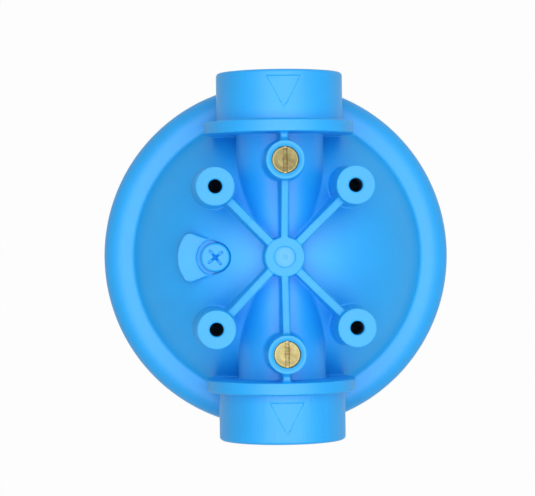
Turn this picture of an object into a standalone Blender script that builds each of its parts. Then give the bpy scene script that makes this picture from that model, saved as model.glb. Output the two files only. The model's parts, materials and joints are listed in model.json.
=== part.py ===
"""Cartridge filter housing of the large kind, for a 4.5 in by 9 3/4 in cartridge.

The cap carries both pipe ports, four bracket bosses, two gauge ports and a vent screw.
The bowl below it, called the sump, screws into the skirt of the cap and holds the cartridge.
Metres, +Z up, origin under the centre of the sump's base, inlet towards +Y, vent towards -X.
Heights whose names end in RISE are measured from the widest line of the cap's shoulder.
"""

import math

import bmesh
import bpy
from mathutils import Matrix, Vector

MM = 0.001

# Clearances between touching pieces
GAP = 0.3 * MM
FACE_GAP = 0.4 * MM

# Cartridge, a standard size that the housing is built round
CARTRIDGE_RADIUS = 57.15 * MM
CARTRIDGE_LENGTH = 248.0 * MM
END_CAP_HEIGHT = 9.8 * MM
CORE_BORE = 14.5 * MM
CORE_RADIUS = CORE_BORE + 3.0 * MM
CORE_SLOTS = 8
GASKET_HEIGHT = 3.0 * MM
GASKET_INNER = CORE_BORE + 1.0 * MM
GASKET_OUTER = GASKET_INNER + 12.5 * MM
PLEATS = 32
PLEAT_OUTER = CARTRIDGE_RADIUS - 1.65 * MM
PLEAT_INNER = CORE_RADIUS + 3.5 * MM
SHEET = 0.8 * MM

# Sump
FLOOR_Z = 10.0 * MM
SEAT_HEIGHT = 8.7 * MM
SUMP_MOUTH = CARTRIDGE_RADIUS + 8.85 * MM
SUMP_FOOT_BORE = CARTRIDGE_RADIUS + 6.35 * MM
NECK_RADIUS = SUMP_MOUTH + 11.6 * MM
COLLAR_HEIGHT = 9.0 * MM
COLLAR_GAP = 2.5 * MM
BODY_TOP_RADIUS = SUMP_MOUTH + 9.5 * MM
BODY_FOOT_RADIUS = SUMP_FOOT_BORE + 8.0 * MM
BODY_FOOT_ROUND = 16.0 * MM
BASE_RING = BODY_FOOT_RADIUS - BODY_FOOT_ROUND - 11.5 * MM
BASE_RECESS = 4.0 * MM
SEAT_WALL = 6.0 * MM
WRENCH_RIBS = 12
WRENCH_RIB_WIDTH = 5.0 * MM
WRENCH_RIB_HEIGHT = 4.5 * MM
BASE_RIBS = 6
GROOVE_RADIUS = SUMP_MOUTH + 6.2 * MM
GROOVE_WIDTH = 6.4 * MM
GROOVE_DEPTH = 4.4 * MM

# Cap: ports and water ways
PASSAGE_BORE = 18.0 * MM
PASSAGE_RADIUS = PASSAGE_BORE + 4.6 * MM
PORT_RISE = PASSAGE_RADIUS + 14.4 * MM
PORT_THREAD_RADIUS = PASSAGE_BORE + 5.6 * MM
PORT_THREAD_DEPTH = 27.0 * MM
BARREL_RADIUS = PORT_THREAD_RADIUS + 9.1 * MM
BARREL_LENGTH = 25.5 * MM
FLANGE_RADIUS = BARREL_RADIUS + 6.5 * MM
FLANGE_THICKNESS = 6.3 * MM
STANDPIPE_BORE = CORE_BORE - 1.0 * MM
STANDPIPE_RADIUS = STANDPIPE_BORE + 4.5 * MM
SEAT_CORE = STANDPIPE_RADIUS - SEAT_WALL
SEAT_RISE = 5.3 * MM
INLET_END = STANDPIPE_RADIUS + 3.0 * MM
OUTLET_END = STANDPIPE_BORE + 1.0 * MM
INLET_DROP_RADIUS = 13.0 * MM
INLET_DROP_Y = INLET_END + INLET_DROP_RADIUS + 5.0 * MM

# Cap: shell
CAP_MOUTH = SUMP_MOUTH
CAP_BORE = NECK_RADIUS + 5.0 * MM
RIM_RADIUS = CAP_BORE + 9.4 * MM
SHOULDER_ROUND = 11.0 * MM
SKIRT_DEPTH = 42.0 * MM
SKIRT_DRAFT = 0.8 * MM
DOME_WALL = 7.0 * MM
DOME_FOOT = RIM_RADIUS - SHOULDER_ROUND - 4.7 * MM
DOME_TOP_RISE = PORT_RISE + PASSAGE_RADIUS - 1.9 * MM
DOME_HEIGHT = DOME_TOP_RISE - SHOULDER_ROUND
DOME_RADIUS = (DOME_FOOT ** 2 + DOME_HEIGHT ** 2) / (2.0 * DOME_HEIGHT)
DOME_CENTRE_RISE = DOME_TOP_RISE - DOME_RADIUS
DOME_FILLET = 1.2 * MM
COLLAR_RADIUS = RIM_RADIUS - 4.0 * MM
PORT_REACH = RIM_RADIUS + 3.0 * MM
FLANGE_OUTER = PORT_REACH - BARREL_LENGTH
FLANGE_INNER = FLANGE_OUTER - FLANGE_THICKNESS

# Cap: bosses, hub and ribs
BOSS_TOP_RISE = PORT_RISE + FLANGE_RADIUS + 5.2 * MM
BOSS_X = 35.2 * MM
BOSS_Y = 35.75 * MM
SCREW_HOLE_RADIUS = 3.5 * MM
SCREW_HOLE_DEPTH = 30.0 * MM
BOSS_RADIUS = SCREW_HOLE_RADIUS + 6.4 * MM
BOSS_DRAFT = math.radians(0.9645)
GAUGE_BORE = 6.95 * MM
GAUGE_LIP = GAUGE_BORE + 1.35 * MM
GAUGE_BOSS_RADIUS = GAUGE_LIP + 1.5 * MM
GAUGE_WAY = GAUGE_BORE - 2.45 * MM
GAUGE_Y = FLANGE_INNER - 14.5 * MM
HUB_RISE = DOME_TOP_RISE + 11.3 * MM
HUB_RADIUS = 9.7 * MM
HUB_DISC_RADIUS = HUB_RADIUS - 4.5 * MM
RIB_WIDTH = 3.7 * MM
DIAGONAL_WIDTH = 4.2 * MM
RIB_HUB_RISE = HUB_RISE - 1.0 * MM
RIB_BOSS_RISE = BOSS_TOP_RISE - 4.4 * MM
RIB_FLANGE_RISE = PORT_RISE + FLANGE_RADIUS - 1.7 * MM

# Vent
VENT_X = -34.6 * MM
VENT_SHANK = 3.9 * MM
VENT_LENGTH = 12.5 * MM
VENT_RING_WIDTH = 1.9 * MM
VENT_RING_RADIUS = VENT_SHANK + 1.3 * MM
VENT_SEAT_DEPTH = 2.2 * MM
VENT_HEAD_RADIUS = VENT_RING_RADIUS + 2.2 * MM
VENT_HEAD_HEIGHT = 5.0 * MM
CROSS_REACH = VENT_HEAD_RADIUS - 2.9 * MM
CROSS_WIDTH = 1.5 * MM
PAD_RISE = DOME_TOP_RISE - 8.7 * MM
PAD_REACH = 19.3 * MM
PAD_NOSE = VENT_HEAD_RADIUS + 0.6 * MM
PAD_SPREAD = math.radians(20.5)

# Gauge plugs and their tape
PLUG_SUNK = 1.8 * MM
PLUG_RADIUS = GAUGE_BORE - 0.4 * MM
PLUG_LENGTH = 11.0 * MM
PLUG_SLOT_WIDTH = 1.9 * MM
PLUG_SLOT_DEPTH = 1.7 * MM
TAPE_THICKNESS = 0.3 * MM

SHELL_STEPS = 48
PORT_STEPS = 32
SMALL_STEPS = 24
HOLE_STEPS = 16
HOLLOW_STEPS = 36

# Heights, from the sump's floor up through the cartridge to the cap
CARTRIDGE_FOOT_Z = FLOOR_Z + SEAT_HEIGHT + GAP
CARTRIDGE_TOP_Z = CARTRIDGE_FOOT_Z + CARTRIDGE_LENGTH
RIM_Z = CARTRIDGE_TOP_Z + GAP - SEAT_RISE
BOSS_TOP_Z = RIM_Z + BOSS_TOP_RISE
PORT_Z = RIM_Z + PORT_RISE
PAD_Z = RIM_Z + PAD_RISE
SUMP_TOP_Z = RIM_Z - FACE_GAP
COLLAR_Z = RIM_Z - SKIRT_DEPTH - COLLAR_GAP


def clear_scene():
    for old in list(bpy.data.objects):
        bpy.data.objects.remove(old, do_unlink=True)


def new_collection(name):
    group = bpy.data.collections.new(name)
    bpy.context.scene.collection.children.link(group)
    return group


def material(name, colour, roughness, metallic=0.0):
    look = bpy.data.materials.new(name)
    look.use_nodes = True
    shader = look.node_tree.nodes["Principled BSDF"]
    shader.inputs["Base Color"].default_value = (*colour, 1.0)
    shader.inputs["Roughness"].default_value = roughness
    shader.inputs["Metallic"].default_value = metallic
    return look


def add_object(name, data, look=None):
    """Put a mesh in the scene, as a part when it has a material and as a cutter when it has none."""
    item = bpy.data.objects.new(name, data)
    if look is None:
        CUTTERS.objects.link(item)
        item.hide_render = True
        item.display_type = "WIRE"
    else:
        PARTS.objects.link(item)
        item.parent = FRAME
        data.materials.append(look)
    return item


def arc(centre_r, centre_z, radius, start, end, count):
    """Points on an arc of a profile, angles in degrees from +r towards +z."""
    points = []
    for step in range(count + 1):
        angle = math.radians(start + (end - start) * step / count)
        points.append((centre_r + radius * math.cos(angle), centre_z + radius * math.sin(angle)))
    return points


def turned(name, profile, steps, look=None, ring=False, place=(0.0, 0.0, 0.0), tilt=0.0):
    """Revolve a profile of (radius, height) points that runs down its outer side."""
    data = bpy.data.meshes.new(name)
    edges = [(index, index + 1) for index in range(len(profile) - 1)]
    if ring:
        edges.append((len(profile) - 1, 0))
    data.from_pydata([(r, 0.0, z) for r, z in profile], edges, [])
    item = add_object(name, data, look)
    item.location = place
    item.rotation_euler = (tilt, 0.0, 0.0)
    screw = item.modifiers.new("turn", "SCREW")
    screw.axis = "Z"
    screw.angle = 2.0 * math.pi
    screw.steps = steps
    screw.render_steps = steps
    screw.use_merge_vertices = True
    screw.merge_threshold = 0.00001
    screw.use_smooth_shade = True
    return item


def extruded(name, outlines, low, high, look=None):
    """Extrude closed flat outlines along Z; a second outline inside the first is a hole."""
    curve = bpy.data.curves.new(name, "CURVE")
    curve.dimensions = "2D"
    curve.fill_mode = "BOTH"
    curve.extrude = (high - low) / 2.0
    for outline in outlines:
        spline = curve.splines.new("POLY")
        spline.points.add(len(outline) - 1)
        for point, (x, y) in zip(spline.points, outline):
            point.co = (x, y, 0.0, 1.0)
        spline.use_cyclic_u = True
    draft = bpy.data.objects.new(name, curve)
    CUTTERS.objects.link(draft)
    bpy.context.view_layer.update()
    data = bpy.data.meshes.new_from_object(draft.evaluated_get(bpy.context.evaluated_depsgraph_get()))
    bpy.data.objects.remove(draft, do_unlink=True)
    shape = bmesh.new()
    shape.from_mesh(data)
    bmesh.ops.translate(shape, verts=shape.verts, vec=(0.0, 0.0, (low + high) / 2.0))
    bmesh.ops.remove_doubles(shape, verts=shape.verts, dist=0.00001)
    bmesh.ops.recalc_face_normals(shape, faces=shape.faces)
    shape.to_mesh(data)
    shape.free()
    data.name = name
    return add_object(name, data, look)


def plate(name, outline, width, angle):
    """A rib: an outline of (radius, height) points stood up in a plane through the Z axis."""
    item = extruded(name, [outline], -width / 2.0, width / 2.0)
    stand = Matrix.Rotation(angle, 4, "Z") @ Matrix.Rotation(math.radians(90.0), 4, "X")
    item.data.transform(stand)
    return item


def tapered(name, place, foot_radius, top_radius, foot_z, top_z, steps):
    """A boss with draft, standing at a place in plan."""
    shape = bmesh.new()
    height = top_z - foot_z
    stand = Matrix.Translation((place[0], place[1], (foot_z + top_z) / 2.0))
    bmesh.ops.create_cone(shape, cap_ends=True, segments=steps, radius1=foot_radius,
                          radius2=top_radius, depth=height, matrix=stand)
    data = bpy.data.meshes.new(name)
    shape.to_mesh(data)
    shape.free()
    return add_object(name, data)


def box(name, size, centre):
    shape = bmesh.new()
    bmesh.ops.create_cube(shape, size=1.0)
    bmesh.ops.scale(shape, verts=shape.verts, vec=size)
    bmesh.ops.translate(shape, verts=shape.verts, vec=centre)
    data = bpy.data.meshes.new(name)
    shape.to_mesh(data)
    shape.free()
    return add_object(name, data)


def mirrored(item, x=False, y=False):
    """Repeat a tool on the other side of the housing's planes of symmetry."""
    mirror = item.modifiers.new("mirror", "MIRROR")
    mirror.use_axis = (x, y, False)
    mirror.mirror_object = FRAME
    mirror.use_mirror_merge = False
    mirror.merge_threshold = 0.00001
    return item


def spread(item, count, offset=0.0):
    """Repeat a tool evenly round the Z axis, all in one object."""
    shape = bmesh.new()
    for index in range(count):
        copy = item.data.copy()
        copy.transform(Matrix.Rotation(offset + 2.0 * math.pi * index / count, 4, "Z"))
        shape.from_mesh(copy)
        bpy.data.meshes.remove(copy)
    shape.to_mesh(item.data)
    shape.free()
    return item


def combine(item, operation, tool, solver="EXACT"):
    boolean = item.modifiers.new(tool.name, "BOOLEAN")
    boolean.operation = operation
    boolean.solver = solver
    boolean.object = tool


def dome_foot(radius):
    """Height inside the wall of the dome at a radius, where ribs, bosses and pads take root."""
    return RIM_Z + DOME_CENTRE_RISE + math.sqrt(DOME_RADIUS ** 2 - radius ** 2) - 0.8 * DOME_WALL


def cap_outer():
    """Profile of the cap as a plain solid: dome, fillet, flat ledge, rounded shoulder and skirt."""
    fillet_z = SHOULDER_ROUND + DOME_FILLET
    reach = DOME_RADIUS + DOME_FILLET
    fillet_r = math.sqrt(reach ** 2 - (fillet_z - DOME_CENTRE_RISE) ** 2)
    touch = math.degrees(math.atan2(fillet_z - DOME_CENTRE_RISE, fillet_r))
    profile = arc(0.0, DOME_CENTRE_RISE, DOME_RADIUS, 90.0, touch, 6)
    profile[0] = (0.0, profile[0][1])
    profile += arc(fillet_r, fillet_z, DOME_FILLET, 180.0 + touch, 270.0, 2)[1:]
    profile += arc(RIM_RADIUS - SHOULDER_ROUND, 0.0, SHOULDER_ROUND, 90.0, 0.0, 5)
    edge = RIM_RADIUS - SKIRT_DRAFT
    profile += [(edge, 1.5 * MM - SKIRT_DEPTH), (edge - 1.5 * MM, -SKIRT_DEPTH), (0.0, -SKIRT_DEPTH)]
    return [(r, RIM_Z + z) for r, z in profile]


def cap_inner():
    """Profile of the hollow in the cap: inner dome, mouth, seal face and thread bore."""
    radius = DOME_RADIUS - DOME_WALL
    steepest = math.asin((2.0 * MM - DOME_CENTRE_RISE) / radius)
    edge = math.degrees(max(math.acos(CAP_MOUTH / radius), steepest))
    profile = arc(0.0, DOME_CENTRE_RISE, radius, 90.0, edge, 5)
    profile[0] = (0.0, profile[0][1])
    profile += [(CAP_MOUTH, 0.0), (CAP_BORE, 0.0), (CAP_BORE, 2.0 * MM - SKIRT_DEPTH)]
    profile += [(CAP_BORE + 2.0 * MM, -SKIRT_DEPTH), (CAP_BORE + 2.0 * MM, -SKIRT_DEPTH - 4.0 * MM)]
    profile += [(0.0, -SKIRT_DEPTH - 4.0 * MM)]
    return [(r, RIM_Z + z) for r, z in profile]


def port_body():
    """Barrel and flange of one port, turned about the port's own axis."""
    profile = [(0.0, PORT_REACH)]
    profile += arc(BARREL_RADIUS - 1.6 * MM, PORT_REACH - 1.6 * MM, 1.6 * MM, 90.0, 0.0, 2)
    profile += [(BARREL_RADIUS, FLANGE_OUTER)]
    profile += arc(FLANGE_RADIUS - 1.0 * MM, FLANGE_OUTER - 1.0 * MM, 1.0 * MM, 90.0, 0.0, 1)
    profile += arc(FLANGE_RADIUS - 1.0 * MM, FLANGE_INNER + 1.0 * MM, 1.0 * MM, 0.0, -90.0, 1)
    profile += [(0.0, FLANGE_INNER)]
    return profile


def port_bore(end):
    """Water way of one port: tapered thread length, step, then the bore of the passage."""
    step = PORT_REACH - PORT_THREAD_DEPTH
    small = PORT_THREAD_RADIUS - PORT_THREAD_DEPTH / 32.0
    profile = [(0.0, PORT_REACH + 2.0 * MM), (PORT_THREAD_RADIUS + 3.0 * MM, PORT_REACH + 2.0 * MM)]
    profile += [(PORT_THREAD_RADIUS, PORT_REACH - 1.0 * MM), (small, step)]
    profile += [(PASSAGE_BORE, step - 3.0 * MM), (PASSAGE_BORE, end), (0.0, end)]
    return profile


def gauge_hole():
    """Countersunk lip, thread length and narrow way down to the passage."""
    floor = BOSS_TOP_Z - PLUG_SUNK - PLUG_LENGTH - 1.0 * MM
    profile = [(0.0, BOSS_TOP_Z + 1.0 * MM), (GAUGE_LIP + 0.8 * MM, BOSS_TOP_Z + 1.0 * MM)]
    profile += [(GAUGE_BORE, BOSS_TOP_Z - PLUG_SUNK + 0.1 * MM), (GAUGE_BORE, floor)]
    profile += [(GAUGE_WAY, floor - 1.5 * MM), (GAUGE_WAY, PORT_Z + PASSAGE_BORE / 2.0)]
    return profile + [(0.0, PORT_Z + PASSAGE_BORE / 2.0)]


def screw_hole():
    """Blind hole in a bracket boss, with a soft chamfer at its mouth."""
    profile = [(0.0, BOSS_TOP_Z + 1.0 * MM), (SCREW_HOLE_RADIUS + 2.2 * MM, BOSS_TOP_Z + 1.0 * MM)]
    profile += [(SCREW_HOLE_RADIUS, BOSS_TOP_Z - 1.2 * MM)]
    profile += [(SCREW_HOLE_RADIUS, BOSS_TOP_Z - SCREW_HOLE_DEPTH)]
    profile += [(0.0, BOSS_TOP_Z - SCREW_HOLE_DEPTH - 1.5 * MM)]
    return profile


def vent_hole():
    """Seat for the vent's seal and the threaded hole through the dome."""
    seat = VENT_RING_RADIUS + VENT_RING_WIDTH / 2.0 + 0.2 * MM
    profile = [(0.0, PAD_Z + 2.0 * MM), (seat, PAD_Z + 2.0 * MM), (seat, PAD_Z - VENT_SEAT_DEPTH)]
    below = PAD_Z - VENT_LENGTH - DOME_WALL
    profile += [(VENT_SHANK + GAP, PAD_Z - VENT_SEAT_DEPTH), (VENT_SHANK + GAP, below), (0.0, below)]
    return profile


def pad_outline(grow=0.0):
    """Fan-shaped pad in plan: round nose at the vent screw, straight sides and an outer arc."""
    nose = PAD_NOSE + grow
    reach = PAD_REACH + grow
    side = math.sqrt(reach ** 2 - nose ** 2)
    lean = 90.0 - math.degrees(PAD_SPREAD)
    corner = lean + math.degrees(math.atan2(side, nose))
    points = arc(VENT_X, 0.0, nose, -lean, lean, 10)
    trim = side - 3.0 * MM
    along = Vector((-math.cos(PAD_SPREAD), math.sin(PAD_SPREAD))) * trim
    points.append((points[-1][0] + along.x, points[-1][1] + along.y))
    outer = arc(VENT_X, 0.0, reach, corner + 9.0, 360.0 - corner - 9.0, 10)
    blend = arc(VENT_X, 0.0, reach - 0.7 * MM, corner + 2.0, corner + 2.0, 1)[0]
    points += [blend] + outer + [(blend[0], -blend[1])]
    points.append((points[0][0] + along.x, points[0][1] - along.y))
    return points


def hub():
    """Centre hub with the shallow round recess left by the moulding gate."""
    top = RIM_Z + HUB_RISE
    profile = [(0.0, top - 0.2 * MM), (HUB_DISC_RADIUS * 0.55, top - 0.7 * MM)]
    profile += [(HUB_DISC_RADIUS, top - 0.9 * MM), (HUB_DISC_RADIUS + 0.2 * MM, top)]
    profile += [(HUB_RADIUS - 0.8 * MM, top), (HUB_RADIUS, top - 0.8 * MM)]
    profile += [(HUB_RADIUS + 0.7 * MM, PORT_Z + 8.0 * MM), (0.0, PORT_Z + 8.0 * MM)]
    return profile


def diagonal_rib():
    reach = math.hypot(BOSS_X, BOSS_Y)
    inner = HUB_RADIUS - 3.7 * MM
    points = [(inner, dome_foot(inner)), (reach, dome_foot(reach))]
    return points + [(reach, RIM_Z + RIB_BOSS_RISE), (inner, RIM_Z + RIB_HUB_RISE)]


def axial_rib():
    reach = FLANGE_INNER + 2.0 * MM
    inner = HUB_RADIUS - 3.7 * MM
    foot = PORT_Z + PASSAGE_BORE - 5.0 * MM
    top = GAUGE_BOSS_RADIUS - 3.8 * MM
    points = [(inner, foot), (reach, foot), (reach, RIM_Z + RIB_FLANGE_RISE)]
    points += [(GAUGE_Y + top, RIM_Z + RIB_BOSS_RISE), (GAUGE_Y - top, RIM_Z + RIB_BOSS_RISE)]
    return points + [(inner, RIM_Z + RIB_HUB_RISE)]


def build_cap(look):
    cap = turned("cap", cap_outer(), SHELL_STEPS, look)
    on_axis = (0.0, 0.0, PORT_Z)
    quarter = math.radians(90.0)

    passage_end = (FLANGE_INNER + FLANGE_OUTER) / 2.0
    profile = [(0.0, passage_end), (PASSAGE_RADIUS, passage_end)]
    profile += [(PASSAGE_RADIUS, -passage_end), (0.0, -passage_end)]
    passage = turned("passage", profile, PORT_STEPS, place=on_axis, tilt=-quarter)
    standpipe = tapered("standpipe", (0.0, 0.0), STANDPIPE_RADIUS, STANDPIPE_RADIUS + 0.5 * MM,
                        RIM_Z + SEAT_RISE, PORT_Z, SMALL_STEPS)
    hollow = turned("cap_hollow", cap_inner(), HOLLOW_STEPS)
    combine(hollow, "DIFFERENCE", passage)
    combine(hollow, "DIFFERENCE", standpipe)

    port = mirrored(turned("port_body", port_body(), PORT_STEPS, place=on_axis, tilt=-quarter), y=True)
    foot = dome_foot(math.hypot(BOSS_X, BOSS_Y) + BOSS_RADIUS)
    wide = BOSS_RADIUS + (BOSS_TOP_Z - foot) * math.tan(BOSS_DRAFT)
    bosses = mirrored(tapered("bracket_bosses", (BOSS_X, BOSS_Y), wide, BOSS_RADIUS, foot, BOSS_TOP_Z,
                              SMALL_STEPS), x=True, y=True)
    gauges = mirrored(tapered("gauge_bosses", (0.0, GAUGE_Y), GAUGE_BOSS_RADIUS + 0.4 * MM, GAUGE_BOSS_RADIUS,
                              PORT_Z + PASSAGE_BORE - 4.0 * MM, BOSS_TOP_Z, SMALL_STEPS), y=True)
    centre = turned("hub", hub(), SMALL_STEPS)
    angle = math.atan2(BOSS_Y, BOSS_X)
    diagonals = mirrored(plate("diagonal_ribs", diagonal_rib(), DIAGONAL_WIDTH, angle), x=True, y=True)
    axials = mirrored(plate("axial_ribs", axial_rib(), RIB_WIDTH, quarter), y=True)
    pad = extruded("vent_pad", [pad_outline()], dome_foot(PAD_REACH - VENT_X), PAD_Z + 3.0 * MM)
    # The crossing ribs and bosses share edges that only the manifold solver keeps closed.
    for tool in (port, passage, bosses, gauges, centre, diagonals, axials, pad):
        combine(cap, "UNION", tool, "MANIFOLD")

    pocket = extruded("vent_pocket", [pad_outline(0.3 * MM)], PAD_Z, PAD_Z + 16.0 * MM)
    inlet = turned("inlet_bore", port_bore(INLET_END), SMALL_STEPS, place=on_axis, tilt=-quarter)
    outlet = turned("outlet_bore", port_bore(-OUTLET_END), SMALL_STEPS, place=on_axis, tilt=quarter)
    well = tapered("standpipe_bore", (0.0, 0.0), STANDPIPE_BORE, STANDPIPE_BORE,
                   RIM_Z - 2.0 * MM, PORT_Z + 4.0 * MM, SMALL_STEPS)
    drop = tapered("inlet_drop", (0.0, INLET_DROP_Y), INLET_DROP_RADIUS, INLET_DROP_RADIUS,
                   RIM_Z + 6.0 * MM, PORT_Z, SMALL_STEPS)
    gauge = mirrored(turned("gauge_holes", gauge_hole(), HOLE_STEPS, place=(0.0, GAUGE_Y, 0.0)), y=True)
    screws = mirrored(turned("screw_holes", screw_hole(), HOLE_STEPS, place=(BOSS_X, BOSS_Y, 0.0)),
                      x=True, y=True)
    vent = turned("vent_hole", vent_hole(), HOLE_STEPS, place=(VENT_X, 0.0, 0.0))
    for tool in (pocket, hollow, inlet, outlet, well, drop, gauge, screws, vent):
        combine(cap, "DIFFERENCE", tool, "MANIFOLD")
    return cap


def sump_profile():
    """Profile of the sump from the middle of its inner floor, over the rim and down to its base."""
    seat_top = FLOOR_Z + SEAT_HEIGHT
    profile = [(0.0, seat_top), (STANDPIPE_RADIUS, seat_top), (STANDPIPE_RADIUS + 2.0 * MM, FLOOR_Z)]
    profile += arc(SUMP_FOOT_BORE - 12.0 * MM, FLOOR_Z + 12.0 * MM, 12.0 * MM, -90.0, 0.0, 3)
    groove_in = GROOVE_RADIUS - GROOVE_WIDTH / 2.0
    groove_out = GROOVE_RADIUS + GROOVE_WIDTH / 2.0
    floor = SUMP_TOP_Z - GROOVE_DEPTH
    profile += [(SUMP_MOUTH, SUMP_TOP_Z - 0.6 * MM), (SUMP_MOUTH + 0.6 * MM, SUMP_TOP_Z)]
    profile += [(groove_in, SUMP_TOP_Z), (groove_in, floor), (groove_out, floor), (groove_out, SUMP_TOP_Z)]
    profile += [(NECK_RADIUS - 1.0 * MM, SUMP_TOP_Z), (NECK_RADIUS, SUMP_TOP_Z - 1.0 * MM)]
    profile += [(NECK_RADIUS, COLLAR_Z)]
    profile += [(COLLAR_RADIUS - 2.0 * MM, COLLAR_Z), (COLLAR_RADIUS, COLLAR_Z - 2.0 * MM)]
    under = COLLAR_Z - COLLAR_HEIGHT
    profile += [(COLLAR_RADIUS, under + 2.0 * MM), (COLLAR_RADIUS - 2.0 * MM, under)]
    profile += [(BODY_TOP_RADIUS + 3.0 * MM, under), (BODY_TOP_RADIUS, under - 5.0 * MM)]
    foot = BODY_FOOT_RADIUS - BODY_FOOT_ROUND
    profile += arc(foot, BODY_FOOT_ROUND, BODY_FOOT_ROUND, 0.0, -90.0, 4)
    profile += [(BASE_RING, 0.0), (BASE_RING - 2.0 * MM, BASE_RECESS), (SEAT_CORE + 1.0 * MM, BASE_RECESS)]
    core_top = seat_top - SEAT_WALL
    return profile + [(SEAT_CORE, core_top), (0.0, core_top)]


def build_sump(look):
    sump = turned("sump", sump_profile(), SHELL_STEPS, look)
    top = COLLAR_Z - COLLAR_HEIGHT + 1.0 * MM
    foot = BODY_FOOT_ROUND + 4.0 * MM
    inner = BODY_FOOT_RADIUS - 3.0 * MM
    outline = [(inner, foot), (BODY_FOOT_RADIUS + 0.4 * WRENCH_RIB_HEIGHT, foot + 6.0 * MM)]
    outline += [(BODY_TOP_RADIUS + WRENCH_RIB_HEIGHT, top), (inner, top)]
    ribs = spread(plate("wrench_ribs", outline, WRENCH_RIB_WIDTH, 0.0), WRENCH_RIBS)
    near = SEAT_CORE + 2.0 * MM
    far = BASE_RING + 1.0 * MM
    root = BASE_RECESS + 2.0 * MM
    outline = [(near, root), (far, root), (far, 1.0 * MM), (near, 1.0 * MM)]
    webs = spread(plate("base_ribs", outline, 3.0 * MM, 0.0), BASE_RIBS, math.radians(30.0))
    for tool in (ribs, webs):
        combine(sump, "UNION", tool)
    return sump


def oval(centre_r, centre_z, half_width, half_height, count):
    """Closed section of a squeezed seal ring, running down its outer side."""
    points = []
    for step in range(count):
        angle = -2.0 * math.pi * step / count
        points.append((centre_r + half_width * math.cos(angle), centre_z + half_height * math.sin(angle)))
    return points


def build_seals(look):
    low = SUMP_TOP_Z - GROOVE_DEPTH
    middle = (low + RIM_Z) / 2.0
    section = oval(GROOVE_RADIUS, middle, GROOVE_WIDTH / 2.0 - GAP, (RIM_Z - low) / 2.0 - 0.2 * MM, 6)
    turned("sump_o_ring", section, SHELL_STEPS, look, ring=True)
    low = -VENT_SEAT_DEPTH
    high = GAP
    section = oval(VENT_RING_RADIUS, (low + high) / 2.0, VENT_RING_WIDTH / 2.0,
                   (high - low) / 2.0 - 0.15 * MM, 6)
    turned("vent_o_ring", section, SMALL_STEPS, look, ring=True, place=(VENT_X, 0.0, PAD_Z))


def build_vent_screw(look):
    head = VENT_HEAD_HEIGHT + GAP
    profile = [(0.0, head)] + arc(VENT_HEAD_RADIUS - 1.2 * MM, head - 1.2 * MM, 1.2 * MM, 90.0, 0.0, 3)
    profile += [(VENT_HEAD_RADIUS, GAP), (VENT_SHANK, GAP), (VENT_SHANK, 1.0 * MM - VENT_LENGTH)]
    profile += [(VENT_SHANK - 1.0 * MM, -VENT_LENGTH), (0.0, -VENT_LENGTH)]
    screw = turned("vent_screw", profile, SMALL_STEPS, look, place=(VENT_X, 0.0, PAD_Z))
    reach = CROSS_REACH
    half = CROSS_WIDTH / 2.0
    outline = [(half, half), (half, reach), (-half, reach), (-half, half), (-reach, half), (-reach, -half)]
    outline += [(-x, -y) for x, y in outline]
    turn = math.radians(45.0)
    slot = extruded("vent_cross", [outline], head - 2.2 * MM, head + 1.0 * MM)
    slot.data.transform(Matrix.Rotation(turn, 4, "Z"))
    slot.location = (VENT_X, 0.0, PAD_Z)
    combine(screw, "DIFFERENCE", slot)
    return screw


def build_plug(side, y, brass, tape):
    """Slotted pipe plug sunk in a gauge boss, with the tape wrapped round its thread."""
    place = (0.0, y, BOSS_TOP_Z - PLUG_SUNK)
    shank = GAUGE_BORE - 0.2 * MM - TAPE_THICKNESS - 0.15 * MM
    taper = 0.25 * MM
    low = 0.5 * MM - PLUG_LENGTH
    profile = [(0.0, 0.0), (PLUG_RADIUS - 0.7 * MM, 0.0), (PLUG_RADIUS, -0.7 * MM), (PLUG_RADIUS, -2.0 * MM)]
    profile += [(shank, -2.2 * MM), (shank - taper, -PLUG_LENGTH + 0.8 * MM)]
    profile += [(shank - taper - 0.8 * MM, -PLUG_LENGTH), (0.0, -PLUG_LENGTH)]
    plug = turned(side + "_gauge_plug", profile, SMALL_STEPS, brass, place=place)
    size = (PLUG_SLOT_WIDTH, 3.0 * PLUG_RADIUS, 2.0 * PLUG_SLOT_DEPTH)
    slot = box(side + "_plug_slot", size, (0.0, 0.0, 0.0))
    slot.location = place
    combine(plug, "DIFFERENCE", slot)
    inner = shank + 0.15 * MM
    section = [(inner + TAPE_THICKNESS, -2.6 * MM), (inner + TAPE_THICKNESS, low)]
    section += [(inner, low), (inner, -2.6 * MM)]
    turned(side + "_plug_tape", section, SMALL_STEPS, tape, ring=True, place=place)


def media_outlines():
    """Outer and inner edge of the folded sheet, pleat by pleat."""
    outer = []
    inner = []
    pitch = 2.0 * math.pi / PLEATS
    tip = 1.0 * MM / PLEAT_OUTER
    valley = 0.25 * MM / PLEAT_INNER
    hollow = 0.3 * MM / PLEAT_OUTER
    mouth = pitch / 2.0 - valley - SHEET / PLEAT_INNER
    foot = PLEAT_INNER - SHEET
    for index in range(PLEATS):
        middle = index * pitch
        marks = [(-pitch / 2.0 + valley, PLEAT_INNER), (-tip, PLEAT_OUTER), (tip, PLEAT_OUTER)]
        marks += [(pitch / 2.0 - valley, PLEAT_INNER)]
        outer += [(r * math.cos(middle + a), r * math.sin(middle + a)) for a, r in marks]
        marks = [(-mouth, foot), (-hollow, PLEAT_OUTER - SHEET)]
        marks += [(hollow, PLEAT_OUTER - SHEET), (mouth, foot)]
        inner += [(r * math.cos(middle + a), r * math.sin(middle + a)) for a, r in marks]
    return [outer, inner]


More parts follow.
